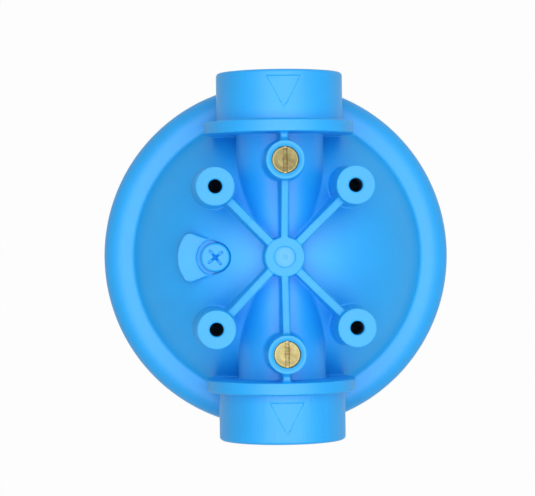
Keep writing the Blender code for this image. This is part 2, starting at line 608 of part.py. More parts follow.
def end_cap(low, high, outer_face):
    """Moulded end cap: a disc with a raised rim round its outer face and a hole for the core."""
    rim = CARTRIDGE_RADIUS - 4.0 * MM
    land = GASKET_OUTER + 1.5 * MM
    dish = 1.6 * MM
    if outer_face == "top":
        profile = [(CORE_BORE, high), (land, high), (land + 1.5 * MM, high - dish)]
        profile += [(rim - 1.5 * MM, high - dish), (rim, high)]
        profile += [(CARTRIDGE_RADIUS - 1.0 * MM, high), (CARTRIDGE_RADIUS, high - 1.0 * MM)]
        return profile + [(CARTRIDGE_RADIUS, low), (CORE_BORE, low)]
    profile = [(CORE_BORE, high), (CARTRIDGE_RADIUS, high), (CARTRIDGE_RADIUS, low + 1.0 * MM)]
    profile += [(CARTRIDGE_RADIUS - 1.0 * MM, low), (rim, low), (rim - 1.5 * MM, low + dish)]
    return profile + [(land + 1.5 * MM, low + dish), (land, low), (CORE_BORE, low)]


def gasket(name, low, look):
    section = [(GASKET_OUTER, low + GASKET_HEIGHT), (GASKET_OUTER, low), (GASKET_INNER, low)]
    turned(name, section + [(GASKET_INNER, low + GASKET_HEIGHT)], SMALL_STEPS, look, ring=True)


def build_cartridge(plastic, sheet, rubber):
    joint = 0.2 * MM
    cap_low = CARTRIDGE_FOOT_Z + GASKET_HEIGHT + joint
    cap_high = CARTRIDGE_TOP_Z - GASKET_HEIGHT - joint
    gasket("cartridge_bottom_gasket", CARTRIDGE_FOOT_Z, rubber)
    gasket("cartridge_top_gasket", CARTRIDGE_TOP_Z - GASKET_HEIGHT, rubber)
    foot = end_cap(cap_low, cap_low + END_CAP_HEIGHT, "bottom")
    turned("cartridge_bottom_cap", foot, PORT_STEPS, plastic, ring=True)
    head = end_cap(cap_high - END_CAP_HEIGHT, cap_high, "top")
    turned("cartridge_top_cap", head, PORT_STEPS, plastic, ring=True)
    low = cap_low + END_CAP_HEIGHT + joint
    high = cap_high - END_CAP_HEIGHT - joint
    section = [(CORE_RADIUS, high), (CORE_RADIUS, low), (CORE_BORE, low), (CORE_BORE, high)]
    core = turned("cartridge_core", section, SMALL_STEPS, plastic, ring=True)
    pitch = (high - low) / CORE_SLOTS
    windows = bmesh.new()
    for index in range(CORE_SLOTS):
        size = (3.0 * CORE_RADIUS, 7.0 * MM, 0.6 * pitch)
        stand = Matrix.Rotation(math.radians(90.0 * index), 4, "Z")
        lift = Matrix.Translation((0.0, 0.0, low + pitch * (index + 0.5)))
        stand = lift @ stand @ Matrix.Diagonal((*size, 1.0))
        bmesh.ops.create_cube(windows, size=1.0, matrix=stand)
    data = bpy.data.meshes.new("core_windows")
    windows.to_mesh(data)
    windows.free()
    combine(core, "DIFFERENCE", add_object("core_windows", data))
    extruded("cartridge_media", media_outlines(), low, high, sheet)


clear_scene()
PARTS = new_collection("Cartridge filter housing")
CUTTERS = new_collection("Cutters")
FRAME = bpy.data.objects.new("housing_frame", None)
PARTS.objects.link(FRAME)

BLUE = (0.03, 0.33, 0.86)
build_cap(material("cap blue plastic", BLUE, 0.42))
build_sump(material("sump blue plastic", BLUE, 0.4))
build_seals(material("black rubber", (0.02, 0.02, 0.022), 0.55))
build_vent_screw(material("vent blue plastic", BLUE, 0.4))
for SIDE, PLACE in (("inlet", GAUGE_Y), ("outlet", -GAUGE_Y)):
    build_plug(SIDE, PLACE, material(SIDE + " plug brass", (0.72, 0.52, 0.2), 0.3, 1.0),
               material(SIDE + " thread tape", (0.9, 0.9, 0.88), 0.6))
build_cartridge(material("cartridge plastic", (0.85, 0.86, 0.84), 0.5),
                material("pleated filter sheet", (0.9, 0.89, 0.84), 0.85),
                material("cartridge gasket rubber", (0.06, 0.06, 0.07), 0.7))
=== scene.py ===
"""Looks of a cartridge filter housing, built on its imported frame.

Solids are worked out in millimetres about their own origin and become meshes in metres.
A size whose name ends in RISE is a height above the widest line of the cap's shoulder.
"""
import json
import math

import bmesh
import bpy
import numpy as np
from mathutils import Matrix, Vector


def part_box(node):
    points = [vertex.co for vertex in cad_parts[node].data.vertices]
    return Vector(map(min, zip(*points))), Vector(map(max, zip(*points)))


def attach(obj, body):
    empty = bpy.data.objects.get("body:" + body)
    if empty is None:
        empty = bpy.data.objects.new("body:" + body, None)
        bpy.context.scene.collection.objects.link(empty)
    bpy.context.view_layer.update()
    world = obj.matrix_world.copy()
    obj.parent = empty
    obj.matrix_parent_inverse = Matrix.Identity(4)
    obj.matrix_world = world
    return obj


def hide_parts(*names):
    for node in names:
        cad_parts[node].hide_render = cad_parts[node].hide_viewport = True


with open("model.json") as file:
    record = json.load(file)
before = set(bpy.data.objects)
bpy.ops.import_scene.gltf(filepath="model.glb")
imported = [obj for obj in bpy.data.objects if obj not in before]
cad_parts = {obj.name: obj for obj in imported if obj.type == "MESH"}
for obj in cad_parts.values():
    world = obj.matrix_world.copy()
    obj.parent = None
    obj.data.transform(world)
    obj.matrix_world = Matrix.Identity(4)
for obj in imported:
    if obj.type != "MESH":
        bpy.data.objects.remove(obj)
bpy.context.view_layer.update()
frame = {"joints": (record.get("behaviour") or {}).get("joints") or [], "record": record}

MM = 0.001
INCH = 25.4
FULL_TURN = 2 * math.pi


# Readings from the frame, in millimetres

def in_mm(values):
    return [round(value / MM, 2) for value in values]


def corners(node):
    """Lowest and highest corner of a node."""
    return [in_mm(corner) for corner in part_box(node)]


def named(entries, name):
    return next(entry for entry in entries if entry["name"] == name)


def axis_of(joint):
    """Point that the axis of a turning joint goes through."""
    return in_mm(named(frame["joints"], joint)["pos_m"])


def middle_of(opening):
    """Middle of a stated opening."""
    low, high = named(frame["record"]["physics"]["openings"], opening)["box_m"]
    return in_mm([(a + b) / 2 for a, b in zip(low, high)])


# Cap: shoulder, skirt and dome
CAP_LOW, CAP_HIGH = corners("cap")
CAP_RADIUS = CAP_HIGH[0]
SKIRT_DEPTH = 42.0
SHOULDER_Z = CAP_LOW[2] + SKIRT_DEPTH
TOP_RISE = round(CAP_HIGH[2] - SHOULDER_Z, 2)
SHOULDER_ROUND = 11.0
SKIRT_DRAFT = 0.8
SKIRT_EDGE = 1.4
SKIRT_BORE = 82.6
SKIRT_FLARE = 2.0
DOME_RADIUS = 85.68
DOME_CENTRE_RISE = -27.98
DOME_WALL = 7.0
DOME_FILLET = 1.2
MOUTH_RADIUS = 66.0

# Cap: water passage and ports
PORT_REACH = CAP_HIGH[1]
PORT_RISE = round(middle_of("inlet_passage")[2] - SHOULDER_Z, 2)
PASSAGE_BORE = 18.0
PASSAGE_RADIUS = 22.6
PASSAGE_END = 66.0
PASSAGE_FILLET = 0.6
BARREL_RADIUS = 32.7
BARREL_START = 65.0
BARREL_EDGE = 1.7
FLANGE_RADIUS = 38.7
FLANGE_SHIFT = 0.5
FLANGE_BACK = 63.2
FLANGE_FRONT = 69.5
FLANGE_EDGE = 0.8
FLANGE_FILLET = 1.2
PORT_FILLET = 0.9
PORT_THREAD = 23.6
PORT_THREAD_START = 68.0
PORT_TAPER = 1 / 32
PORT_PITCH = INCH / 11.5
PORT_CHAMFER = 1.0
PORT_CONE_SLOPE = 1.6
INLET_WAY_END = 21.0
OUTLET_WAY_END = 14.5
INLET_DROP_Y = 39.0
INLET_DROP_BORE = 13.0
INLET_DROP_RISE = 6.0
STANDPIPE_RADIUS = 18.0
STANDPIPE_DRAFT = 0.012
STANDPIPE_BORE = 13.5
STANDPIPE_BORE_RISES = (-2.0, 41.0)
SEAT_RISE = 5.3
WATER_FILLET = 2.0
WATER_EDGE = 0.5
WAY_EDGE = 0.4

# Cap: bosses, ribs and hub
BOSS_X, BOSS_Y = middle_of("bracket_screw_plus_x_plus_y")[:2]
BOSS_RADIUS = 9.9
BOSS_DRAFT = 0.0168
BOSS_EDGE = 0.7
BOSS_FILLET = 1.2
SCREW_HOLE = 3.5
SCREW_HOLE_RISE = 51.4
SCREW_HOLE_TIP = 0.4
SCREW_CHAMFER = 0.5
SCREW_EDGE = 0.3
PLUG_AXES = {side: axis_of(side + "_plug_turn") for side in ("inlet", "outlet")}
PLUG_Y = PLUG_AXES["inlet"][1]
GAUGE_BOSS_RADIUS = 9.8
GAUGE_BOSS_DRAFT = 0.012
GAUGE_BOSS_EDGE = 0.55
GAUGE_BOSS_FILLET = 1.4
GAUGE_BORE = 6.86
GAUGE_BORE_RISE = 67.0
GAUGE_SINK = 0.9
GAUGE_SINK_SLOPE = 1.7
GAUGE_EDGE = 0.25
GAUGE_WAY = 4.5
GAUGE_WAY_RISE = 46.0
AXIAL_RIB_HALF = 1.85
AXIAL_RIB_DRAFT = 0.014
AXIAL_RIB_EDGE = 0.55
AXIAL_CREST_AT = (9.0, 39.5, 57.5, 60.5)
AXIAL_CREST_RISES = (68.0, 77.0, 77.0, 73.6)
AXIAL_FILLETS = (1.1, 1.8)
AXIAL_FLARE_AT = (52.0, 58.0)
DIAGONAL_RIB_HALF = 2.1
DIAGONAL_RIB_DRAFT = 0.016
DIAGONAL_RIB_EDGE = 0.6
DIAGONAL_RIB_END = 50.0
DIAGONAL_CREST_AT = (9.0, 24.0, 41.0)
DIAGONAL_CREST_RISES = (68.0, 71.0, 77.0)
DIAGONAL_FILLET = 1.1
HUB_RADIUS = 10.1
HUB_RISE = 69.0
HUB_DRAFT = 0.03
HUB_EDGE = 0.45
HUB_FILLET = 0.8
GATE_WALL = 5.6
GATE_RADIUS = 5.2
GATE_RISE = 68.5
GATE_DEPTH = 1.0
GATE_NUB = 0.9
GATE_NUB_RADIUS = 1.2
MARK_EDGE = 0.12

# Cap: flow marks, each from the wide end to the point
FLOW_MARKS = ((92.0, 75.2), (-73.5, -90.4))
FLOW_MARK_LENGTH = 16.8
FLOW_MARK_HALF = 9.25
FLOW_MARK_X = 0.35
FLOW_MARK_DEPTHS = (0.3, 0.7)
FLOW_MARK_SLOPE = 0.9
FLOW_MARK_RISE = 50.0

# Vent
VENT_AXIS = axis_of("vent_turn")
VENT_X = VENT_AXIS[0]
PAD_RISE = round(VENT_AXIS[2] - SHOULDER_Z, 2)
PAD_NOSE = 7.6
PAD_REACH = 19.3
PAD_SPREAD = math.radians(20.5)
PAD_CORNER = 2.6
PAD_EDGE = 0.45
PAD_FILLET = 1.2
PAD_ROOT_RISE = 20.0
POCKET_GAP = 0.15
POCKET_EDGE = 0.4
SHELF_RADIUS = 9.8
SHELF_RISE = 48.4
SHELF_EDGE = 0.15
VENT_SEAL_SEAT = 6.35
VENT_SEAL_SEAT_RISE = 46.8
VENT_HOLE = 4.2
VENT_HOLE_RISE = 30.0
VENT_HEAD = 7.5
VENT_HEAD_TOP = 5.3
VENT_HEAD_FOOT = -0.3
VENT_RIM = 1.0
VENT_SHANK = 3.9
VENT_SHANK_TOP = 3.0
VENT_TIP = -12.5
VENT_PITCH = 1.5
CROSS_TURN = math.radians(38.0)
CROSS_ARM = 4.2
CROSS_HALF = 0.66
CROSS_DRAFT = 0.06
CROSS_DEPTHS = (1.3, 4.0)
CROSS_WELL = 2.6

# Plugs and their tape
PLUG_HEAD = 6.83
PLUG_FACE = 6.1
PLUG_BEVEL = 0.4
PLUG_HEAD_DEPTH = 2.1
PLUG_LENGTH = 11.0
PLUG_SHANK = 6.3
PLUG_TAPER = 0.028
PLUG_SLOT_HALF = 1.0
PLUG_SLOT_DEPTH = 1.3
PLUG_PITCH = INCH / 18
TAPE_RADIUS = 6.62
TAPE_EDGE_RADIUS = 6.58
TAPE_BORE = 6.44
TAPE_SPAN = (-2.62, -10.48)
TAPE_ROUND = 0.13
TAPE_LAP = 3.1
TAPE_SWELL = 0.10
TAPE_SINK = 0.06
TAPE_LIP = 0.05
TAPE_LIP_SHARE = 0.12

# Sump
SUMP_TOP = corners("sump")[1][2]
FOOT_RADIUS = 71.5
FOOT_ROUND = 16.0
WALL_DRAFT = 4.0
WALL_TOP = 203.5
BODY_TOP = 214.0
WRENCH_RIBS = 12
WRENCH_RIB_HALF = 2.5
WRENCH_RIB_TAPER = 0.06
WRENCH_RIB_MIDDLE = 76.0
WRENCH_RIB_FOOT = 20.0
WRENCH_FOOT_SLOPE = 1.4
WRENCH_CREST_AT = (26.0, 209.5)
WRENCH_CREST_RADII = (73.3, 80.0)
COLLAR_RADIUS = corners("sump")[1][0]
COLLAR_HEIGHTS = (208.5, 217.5)
NECK_RADIUS = 77.6
NECK_START = 205.0
SUMP_BORE_AT = (22.0, 260.0)
SUMP_BORE_RADII = (63.5, 66.0)
SUMP_BORE_ROUND = 12.0
SUMP_SEAT_RADIUS = 18.0
SUMP_SEAT_TOP = 18.7
SUMP_SEAT_HEIGHT = 9.0
SUMP_SEAT_DRAFT = 0.23
GROOVE_RADIUS = 72.2
GROOVE_HALF = 3.2
GROOVE_FLOOR = 257.2
BASE_RADIUS = 44.0
BASE_RECESS = 4.0
BASE_DRAFT = 0.5
BASE_WEBS = 6
BASE_WEB_HALF = 1.5
BASE_WEB_FOOT = 1.0
BASE_WEB_INNER = 14.0
BASE_WELL = 12.0
BASE_WELL_TOP = 12.7
BASE_WELL_DRAFT = 0.11
COARSE_PITCH = 8.0
COARSE_HEIGHT = 3.85
COARSE_ROOT = 4.6
COARSE_CREST = 2.4
THREAD_SINK = 0.15

# Cartridge
MEDIA_FOOT = corners("cartridge_media")[0][2]
MEDIA_TOP = corners("cartridge_media")[1][2]
CORE_RADIUS = corners("cartridge_core")[1][0]
CORE_BORE = 14.5
CORE_HOLES = 12
CORE_ROWS = 22
CORE_HOLE = 2.7
PLEATS = 32
PLEAT_PEAK = 54.1
PLEAT_PEAK_ROUND = 1.0
PLEAT_VALLEY = 21.8
PLEAT_VALLEY_ROUND = 0.62
SHEET = 0.8
END_CAP_RADIUS = corners("cartridge_top_cap")[1][0]
GASKET_RADIUS = corners("cartridge_top_gasket")[1][0]
END_RING_RADII = (29.5, 31.0, 51.6, 53.15)
END_RING_DEPTH = 1.6
GASKET_BORE = 15.5

# Studio and camera, with the photograph's width and focal length in pixels
FLOOR_Z = -0.33
FLOOR_HALF = 3.0
LAMP_SIZE = (2.6, 3.2)
LAMP_WATTS = 56.0
LAMP_PLACE = (0.05, 0.0, 1.9)
ROOM_LIGHT = 0.10
FLOOR_GLOW = 0.94
PHOTO_WIDTH = 535.0
PHOTO_FOCUS = 2124.19
SENSOR_WIDTH = 36.0
CAMERA_TILT = 0.0066
CAMERA_LEAN = 0.0586
CAMERA_ROLL = 0.0110
CAMERA_PLACE = (-4.74, 4.12, 1140.43)


# Solids as signed distances

def joined(a, b, fillet):
    """Both solids in one, with a fillet where they meet."""
    u, v = np.maximum(fillet - a, 0), np.maximum(fillet - b, 0)
    return np.maximum(np.minimum(a, b), fillet) - np.sqrt(u * u + v * v)


def trimmed(a, b, edge):
    """What two solids share, with a rounded edge where they cross."""
    u, v = np.maximum(edge + a, 0), np.maximum(edge + b, 0)
    return np.minimum(np.maximum(a, b), -edge) + np.sqrt(u * u + v * v)


def bored(solid, hole, edge):
    """A solid with a hole in it, whose rim is rounded."""
    return trimmed(solid, -hole, edge)


def round_block(out, up, edge):
    """Block with a broad round between its side and its end."""
    corner = np.hypot(np.maximum(out, 0), np.maximum(up, 0))
    return corner + np.minimum(np.maximum(out, up), 0) - edge


def between(value, low, high):
    """Distance outside a slab."""
    return np.abs(value - (low + high) / 2) - (high - low) / 2


def sloped(distance, slope=1.0):
    """Distance square to a wall that leans by a slope."""
    return distance / math.hypot(1.0, slope)


def eased(value):
    """Smooth step from 0 to 1."""
    value = np.clip(value, 0, 1)
    return value * value * (3 - 2 * value)


def from_spoke(r, angle, count, shift=0.0):
    """Sideways distance from the nearest of several spokes round the axis."""
    step = FULL_TURN / count
    turn = angle / step - shift
    return np.abs(r * np.sin((turn - np.round(turn)) * step))


def vent_fan(x, y):
    """Plan of the vent pad: a round nose at the screw, straight sides and an outer arc."""
    u, v = VENT_X - x, np.abs(y)
    far = np.hypot(u, v)
    side = v * math.cos(PAD_SPREAD) - u * math.sin(PAD_SPREAD) - PAD_NOSE
    behind = -(u * math.cos(PAD_SPREAD) + v * math.sin(PAD_SPREAD))
    wings = np.maximum(trimmed(side, far - PAD_REACH, PAD_CORNER), behind)
    return np.minimum(far - PAD_NOSE, wings)


class CapPoints:
    """Points in the cap, with the distances that its features are measured by."""

    def __init__(self, x, y, z):
        self.x, self.y, self.z = x, y, z
        self.r = np.hypot(x, y)
        self.wide, self.long = np.abs(x), np.abs(y)
        self.globe = np.sqrt(self.r * self.r + (z - DOME_CENTRE_RISE) ** 2)
        self.pipe = np.hypot(x, z - PORT_RISE)
        self.boss = np.hypot(self.wide - BOSS_X, self.long - BOSS_Y)
        self.tap = np.hypot(x, self.long - PLUG_Y)
        self.stem = np.hypot(x - VENT_X, y)
        self.pad = vent_fan(x, y)


def shoulder(at):
    """Broad round shoulder on a skirt that leans in a little."""
    lean = np.clip(-at.z, 0, SKIRT_DEPTH) * (SKIRT_DRAFT / SKIRT_DEPTH)
    block = round_block(at.r + lean - CAP_RADIUS + SHOULDER_ROUND, at.z, SHOULDER_ROUND)
    return trimmed(block, -SKIRT_DEPTH - at.z, SKIRT_EDGE)


def vent_pad(at):
    return np.maximum(trimmed(at.pad, at.z - PAD_RISE, PAD_EDGE), PAD_ROOT_RISE - at.z)


def passage(at):
    return np.maximum(at.pipe - PASSAGE_RADIUS, at.long - PASSAGE_END)


def port(at):
    """Barrel of a port with the flange behind it."""
    barrel = trimmed(at.pipe - BARREL_RADIUS, between(at.long, BARREL_START, PORT_REACH), BARREL_EDGE)
    disc = np.hypot(at.x + FLANGE_SHIFT, at.z - PORT_RISE) - FLANGE_RADIUS
    flange = trimmed(disc, between(at.long, FLANGE_BACK, FLANGE_FRONT), FLANGE_EDGE)
    return joined(barrel, flange, FLANGE_FILLET)


def bracket_boss(at):
    side = at.boss - BOSS_RADIUS - (TOP_RISE - at.z) * BOSS_DRAFT
    return trimmed(side, at.z - TOP_RISE, BOSS_EDGE)


def gauge_boss(at):
    side = at.tap - GAUGE_BOSS_RADIUS - (TOP_RISE - at.z) * GAUGE_BOSS_DRAFT
    return trimmed(side, at.z - TOP_RISE, GAUGE_BOSS_EDGE)


def axial_rib(at):
    """Rib from the hub through a gauge boss to a flange."""
    crest = np.interp(at.long, AXIAL_CREST_AT, AXIAL_CREST_RISES)
    side = at.wide - AXIAL_RIB_HALF - np.maximum(crest - at.z, 0) * AXIAL_RIB_DRAFT
    return np.maximum(trimmed(side, at.z - crest, AXIAL_RIB_EDGE), at.long - PASSAGE_END)


def axial_fillet(at):
    """Fillet at the foot of an axial rib, wider where it meets its flange."""
    near, far = AXIAL_FLARE_AT
    return AXIAL_FILLETS[0] + (AXIAL_FILLETS[1] - AXIAL_FILLETS[0]) * eased((at.long - near) / (far - near))


def diagonal_rib(at):
    """Rib from the hub to a bracket boss."""
    angle = math.atan2(BOSS_Y, BOSS_X)
    along = at.wide * math.cos(angle) + at.long * math.sin(angle)
    across = np.abs(at.long * math.cos(angle) - at.wide * math.sin(angle))
    crest = np.interp(along, DIAGONAL_CREST_AT, DIAGONAL_CREST_RISES)
    side = across - DIAGONAL_RIB_HALF - np.maximum(crest - at.z, 0) * DIAGONAL_RIB_DRAFT
    return np.maximum(trimmed(side, at.z - crest, DIAGONAL_RIB_EDGE), along - DIAGONAL_RIB_END)


def hub(at):
    return trimmed(at.r - HUB_RADIUS - (HUB_RISE - at.z) * HUB_DRAFT, at.z - HUB_RISE, HUB_EDGE)


def with_vent_seat(solid, at):
    """The cap with the pocket of the vent, the shelf under the screw's head, seal seat and thread hole."""
    plan = at.pad - POCKET_GAP
    solid = bored(solid, np.maximum(plan, PAD_RISE - at.z), POCKET_EDGE)
    wall = sloped(at.stem - SHELF_RADIUS + np.clip(PAD_RISE - at.z, 0, 1))
    shelf = np.maximum(np.maximum(wall, plan), SHELF_RISE - at.z)
    solid = bored(solid, shelf, SHELF_EDGE)
    solid = np.maximum(solid, -np.maximum(at.stem - VENT_SEAL_SEAT, VENT_SEAL_SEAT_RISE - at.z))
    return np.maximum(solid, -np.maximum(at.stem - VENT_HOLE, VENT_HOLE_RISE - at.z))


def water_space(at):
    """Space over the cartridge and in the skirt, round the passage and the standpipe."""
    hollow = np.maximum(at.globe - DOME_RADIUS + DOME_WALL, at.r - MOUTH_RADIUS)
    hollow = np.minimum(hollow, np.maximum(at.r - SKIRT_BORE, at.z))
    low = SKIRT_FLARE - SKIRT_DEPTH - at.z
    hollow = np.minimum(hollow, np.maximum(at.r - SKIRT_BORE - np.clip(low, 0, 4), -1.0 - low))
    rise = at.z - SEAT_RISE
    standpipe = np.maximum(at.r - STANDPIPE_RADIUS - np.clip(rise, 0, 40) * STANDPIPE_DRAFT, -rise)
    return trimmed(hollow, -joined(passage(at), standpipe, WATER_FILLET), WATER_EDGE)


def port_way(at):
    """Threaded socket of a port, with a cone at its inner end and a chamfer at its mouth."""
    taper = PORT_THREAD - (PORT_REACH - at.long) * PORT_TAPER
    socket = np.maximum(at.pipe - taper, PORT_THREAD_START - at.long)
    throat = PORT_THREAD - (PORT_REACH - PORT_THREAD_START) * PORT_TAPER
    radius = np.clip(PASSAGE_BORE + (at.long - BARREL_START) * PORT_CONE_SLOPE, PASSAGE_BORE, throat)
    cone = np.maximum(at.pipe - radius, BARREL_START - 1.0 - at.long)
    outer = at.long - PORT_REACH + PORT_CHAMFER
    mouth = np.maximum(at.pipe - PORT_THREAD - outer, -2.0 - outer)
    return np.minimum(np.minimum(socket, cone), mouth)


def water_ways(at):
    """Bores of the ports and passage, the inlet's drop, the standpipe and the gauge ports."""
    ends = np.minimum(INLET_WAY_END - at.y, at.y - OUTLET_WAY_END)
    way = np.minimum(np.maximum(at.pipe - PASSAGE_BORE, ends), port_way(at))
    way = np.minimum(way, np.maximum(at.r - STANDPIPE_BORE, between(at.z, *STANDPIPE_BORE_RISES)))
    drop = np.hypot(at.x, at.y - INLET_DROP_Y) - INLET_DROP_BORE
    way = np.minimum(way, np.maximum(drop, between(at.z, INLET_DROP_RISE, PORT_RISE)))
    return np.minimum(way, np.maximum(at.tap - GAUGE_WAY, GAUGE_WAY_RISE - at.z))


def gauge_bore(at):
    """Bore for a plug or a gauge, with a shallow countersink."""
    bore = np.maximum(at.tap - GAUGE_BORE, GAUGE_BORE_RISE - at.z)
    sink = at.tap - GAUGE_BORE - (at.z - TOP_RISE + GAUGE_SINK) * GAUGE_SINK_SLOPE
    return np.minimum(bore, sloped(sink, GAUGE_SINK_SLOPE))


def screw_hole(at):
    """Blind hole of a bracket boss, with a drilled tip and a chamfered mouth."""
    floor = SCREW_HOLE_RISE - (SCREW_HOLE - at.boss) * SCREW_HOLE_TIP
    hole = np.maximum(at.boss - SCREW_HOLE, floor - at.z)
    return np.minimum(hole, sloped(at.boss - SCREW_HOLE - (at.z - TOP_RISE + SCREW_CHAMFER)))


def gate_dish(at):
    """Shallow dish in the hub, with a small nub in its middle."""
    bowl = np.clip(1 - (at.r / GATE_RADIUS) ** 2, 0, 1)
    nub = np.exp(-((at.r / GATE_NUB_RADIUS) ** 2))
    floor = GATE_RISE - GATE_DEPTH * bowl + GATE_NUB * nub
    wall = sloped(at.r - GATE_WALL + np.clip(HUB_RISE - at.z, 0, 1))
    return np.maximum(wall, floor - at.z)


def flow_marks(at):
    """Sunk triangles on both barrels, deeper towards their wide end, which point the way the water flows."""
    under = np.clip(BARREL_RADIUS - at.pipe, 0, 2)
    shallow, deep = FLOW_MARK_DEPTHS
    marks = []
    for base, apex in FLOW_MARKS:
        side = np.abs(at.x - FLOW_MARK_X) * FLOW_MARK_LENGTH - (at.y - apex) * FLOW_MARK_HALF
        side = side / math.hypot(FLOW_MARK_LENGTH, FLOW_MARK_HALF)
        sides = sloped(side + under * FLOW_MARK_SLOPE, FLOW_MARK_SLOPE)
        walls = np.maximum(sides, sloped(at.y - base + under))
        depth = shallow + (deep - shallow) * np.clip((at.y - apex) / (base - apex), 0, 1)
        floor = np.maximum(BARREL_RADIUS - depth - at.pipe, FLOW_MARK_RISE - at.z)
        marks.append(np.maximum(walls, floor))
    return np.minimum(*marks)


def cap_solid(x, y, z):
    """The whole cap moulding: what stands on it first, then what is cut into it."""
    at = CapPoints(x, y, z)
    solid = joined(shoulder(at), at.globe - DOME_RADIUS, DOME_FILLET)
    solid = joined(solid, vent_pad(at), PAD_FILLET)
    solid = joined(solid, passage(at), PASSAGE_FILLET)
    solid = joined(solid, port(at), PORT_FILLET)
    solid = joined(solid, bracket_boss(at), BOSS_FILLET)
    solid = joined(solid, gauge_boss(at), GAUGE_BOSS_FILLET)
    solid = joined(solid, axial_rib(at), axial_fillet(at))
    solid = joined(solid, diagonal_rib(at), DIAGONAL_FILLET)
    solid = joined(solid, hub(at), HUB_FILLET)
    solid = with_vent_seat(solid, at)
    solid = np.maximum(solid, -water_space(at))
    solid = bored(solid, water_ways(at), WAY_EDGE)
    solid = bored(solid, gauge_bore(at), GAUGE_EDGE)
    solid = bored(solid, screw_hole(at), SCREW_EDGE)
    solid = bored(solid, gate_dish(at), MARK_EDGE)
    return bored(solid, flow_marks(at), MARK_EDGE)


def wrench_ribs(r, angle, z):
    """Ribs up the bowl that a wrench grips, run out above the foot."""
    crest = WRENCH_CREST_RADII[0] + (z - WRENCH_CREST_AT[0]) * (
        (WRENCH_CREST_RADII[1] - WRENCH_CREST_RADII[0]) / (WRENCH_CREST_AT[1] - WRENCH_CREST_AT[0]))
    side = from_spoke(r, angle, WRENCH_RIBS) - WRENCH_RIB_HALF
    rib = trimmed(side + (r - WRENCH_RIB_MIDDLE) * WRENCH_RIB_TAPER, r - crest, edge=1.2)
    run_out = np.maximum(r - FOOT_RADIUS + 0.5, 0) * WRENCH_FOOT_SLOPE
    rib = trimmed(rib, sloped(WRENCH_RIB_FOOT - z + run_out, WRENCH_FOOT_SLOPE), edge=1.5)
    return np.maximum(np.maximum(rib, z - BODY_TOP + 2.0), MOUTH_RADIUS - r)


def sump_space(r, z):
    """Room for the cartridge, round its raised seat."""
    low, high = SUMP_BORE_AT
    draft = np.clip((z - low) / (high - low), 0, 1) * (SUMP_BORE_RADII[1] - SUMP_BORE_RADII[0])
    hollow = round_block(r - SUMP_BORE_RADII[0] - draft + SUMP_BORE_ROUND, low - z, SUMP_BORE_ROUND)
    seat = r - SUMP_SEAT_RADIUS - np.clip(SUMP_SEAT_TOP - z, 0, SUMP_SEAT_HEIGHT) * SUMP_SEAT_DRAFT
    return bored(hollow, trimmed(seat, z - SUMP_SEAT_TOP, edge=0.6), edge=1.5)


def base_hollow(r, angle, z):
    """Recess under the bowl with webs across it and a well under the seat."""
    recess = np.maximum(r - BASE_RADIUS + np.clip(z, 0, BASE_RECESS) * BASE_DRAFT, z - BASE_RECESS)
    side = from_spoke(r, angle, BASE_WEBS, shift=0.5) - BASE_WEB_HALF
    web = np.maximum(trimmed(side, BASE_WEB_FOOT - z, edge=0.4), BASE_WEB_INNER - r)
    flare = np.clip(BASE_WELL_TOP - z, 0, SUMP_SEAT_HEIGHT) * BASE_WELL_DRAFT
    well = np.maximum(r - BASE_WELL - flare, z - BASE_WELL_TOP)
    return np.minimum(np.maximum(recess, -web), well)


def sump_solid(x, y, z):
    """Bowl with a foot, wrench ribs, collar, plain neck, seal groove and the seat of the cartridge."""
    r, angle = np.hypot(x, y), np.arctan2(y, x)
    draft = np.clip((z - FOOT_ROUND) / (WALL_TOP - FOOT_ROUND), 0, 1) * WALL_DRAFT
    bowl = round_block(r - FOOT_RADIUS - draft + FOOT_ROUND, FOOT_ROUND - z, FOOT_ROUND)
    bowl = np.maximum(bowl, z - BODY_TOP)
    bowl = joined(bowl, wrench_ribs(r, angle, z), fillet=1.8)
    collar = trimmed(r - COLLAR_RADIUS, between(z, *COLLAR_HEIGHTS), edge=1.8)
    bowl = joined(bowl, collar, fillet=3.5)
    neck = np.maximum(trimmed(r - NECK_RADIUS, z - SUMP_TOP, edge=0.9), NECK_START - z)
    bowl = joined(bowl, neck, fillet=1.2)
    bowl = bored(bowl, sump_space(r, z), edge=0.6)
    groove = np.maximum(np.abs(r - GROOVE_RADIUS) - GROOVE_HALF, GROOVE_FLOOR - z)
    bowl = bored(bowl, groove, edge=0.3)
    return bored(bowl, base_hollow(r, angle, z), edge=0.6)


def vent_screw_solid(x, y, z):
    """Screw with a round-edged head and a cross slot that deepens towards its middle."""
    r = np.hypot(x, y)
    head = trimmed(r - VENT_HEAD, z - VENT_HEAD_TOP, edge=1.35)
    head = trimmed(head, VENT_HEAD_FOOT - z, edge=0.2)
    under = np.maximum(r - VENT_HEAD + VENT_RIM, z + VENT_HEAD_FOOT)
    shank = trimmed(r - VENT_SHANK, VENT_TIP - z, edge=0.8)
    solid = joined(np.maximum(head, -under), np.maximum(shank, z - VENT_SHANK_TOP), fillet=0.3)
    u = x * math.cos(CROSS_TURN) + y * math.sin(CROSS_TURN)
    v = y * math.cos(CROSS_TURN) - x * math.sin(CROSS_TURN)
    well = (CROSS_DEPTHS[1] - CROSS_DEPTHS[0]) * eased(1.0 - r / CROSS_WELL)
    floor = VENT_HEAD_TOP - CROSS_DEPTHS[0] - well
    draft = np.clip(VENT_HEAD_TOP - z, 0, 2) * CROSS_DRAFT
    for along, aside in ((np.abs(u), v), (np.abs(v), u)):
        arm = np.hypot(np.maximum(along - CROSS_ARM, 0), aside) - CROSS_HALF + draft
        solid = bored(solid, trimmed(arm, floor - z, edge=0.35), edge=0.18)
    return solid


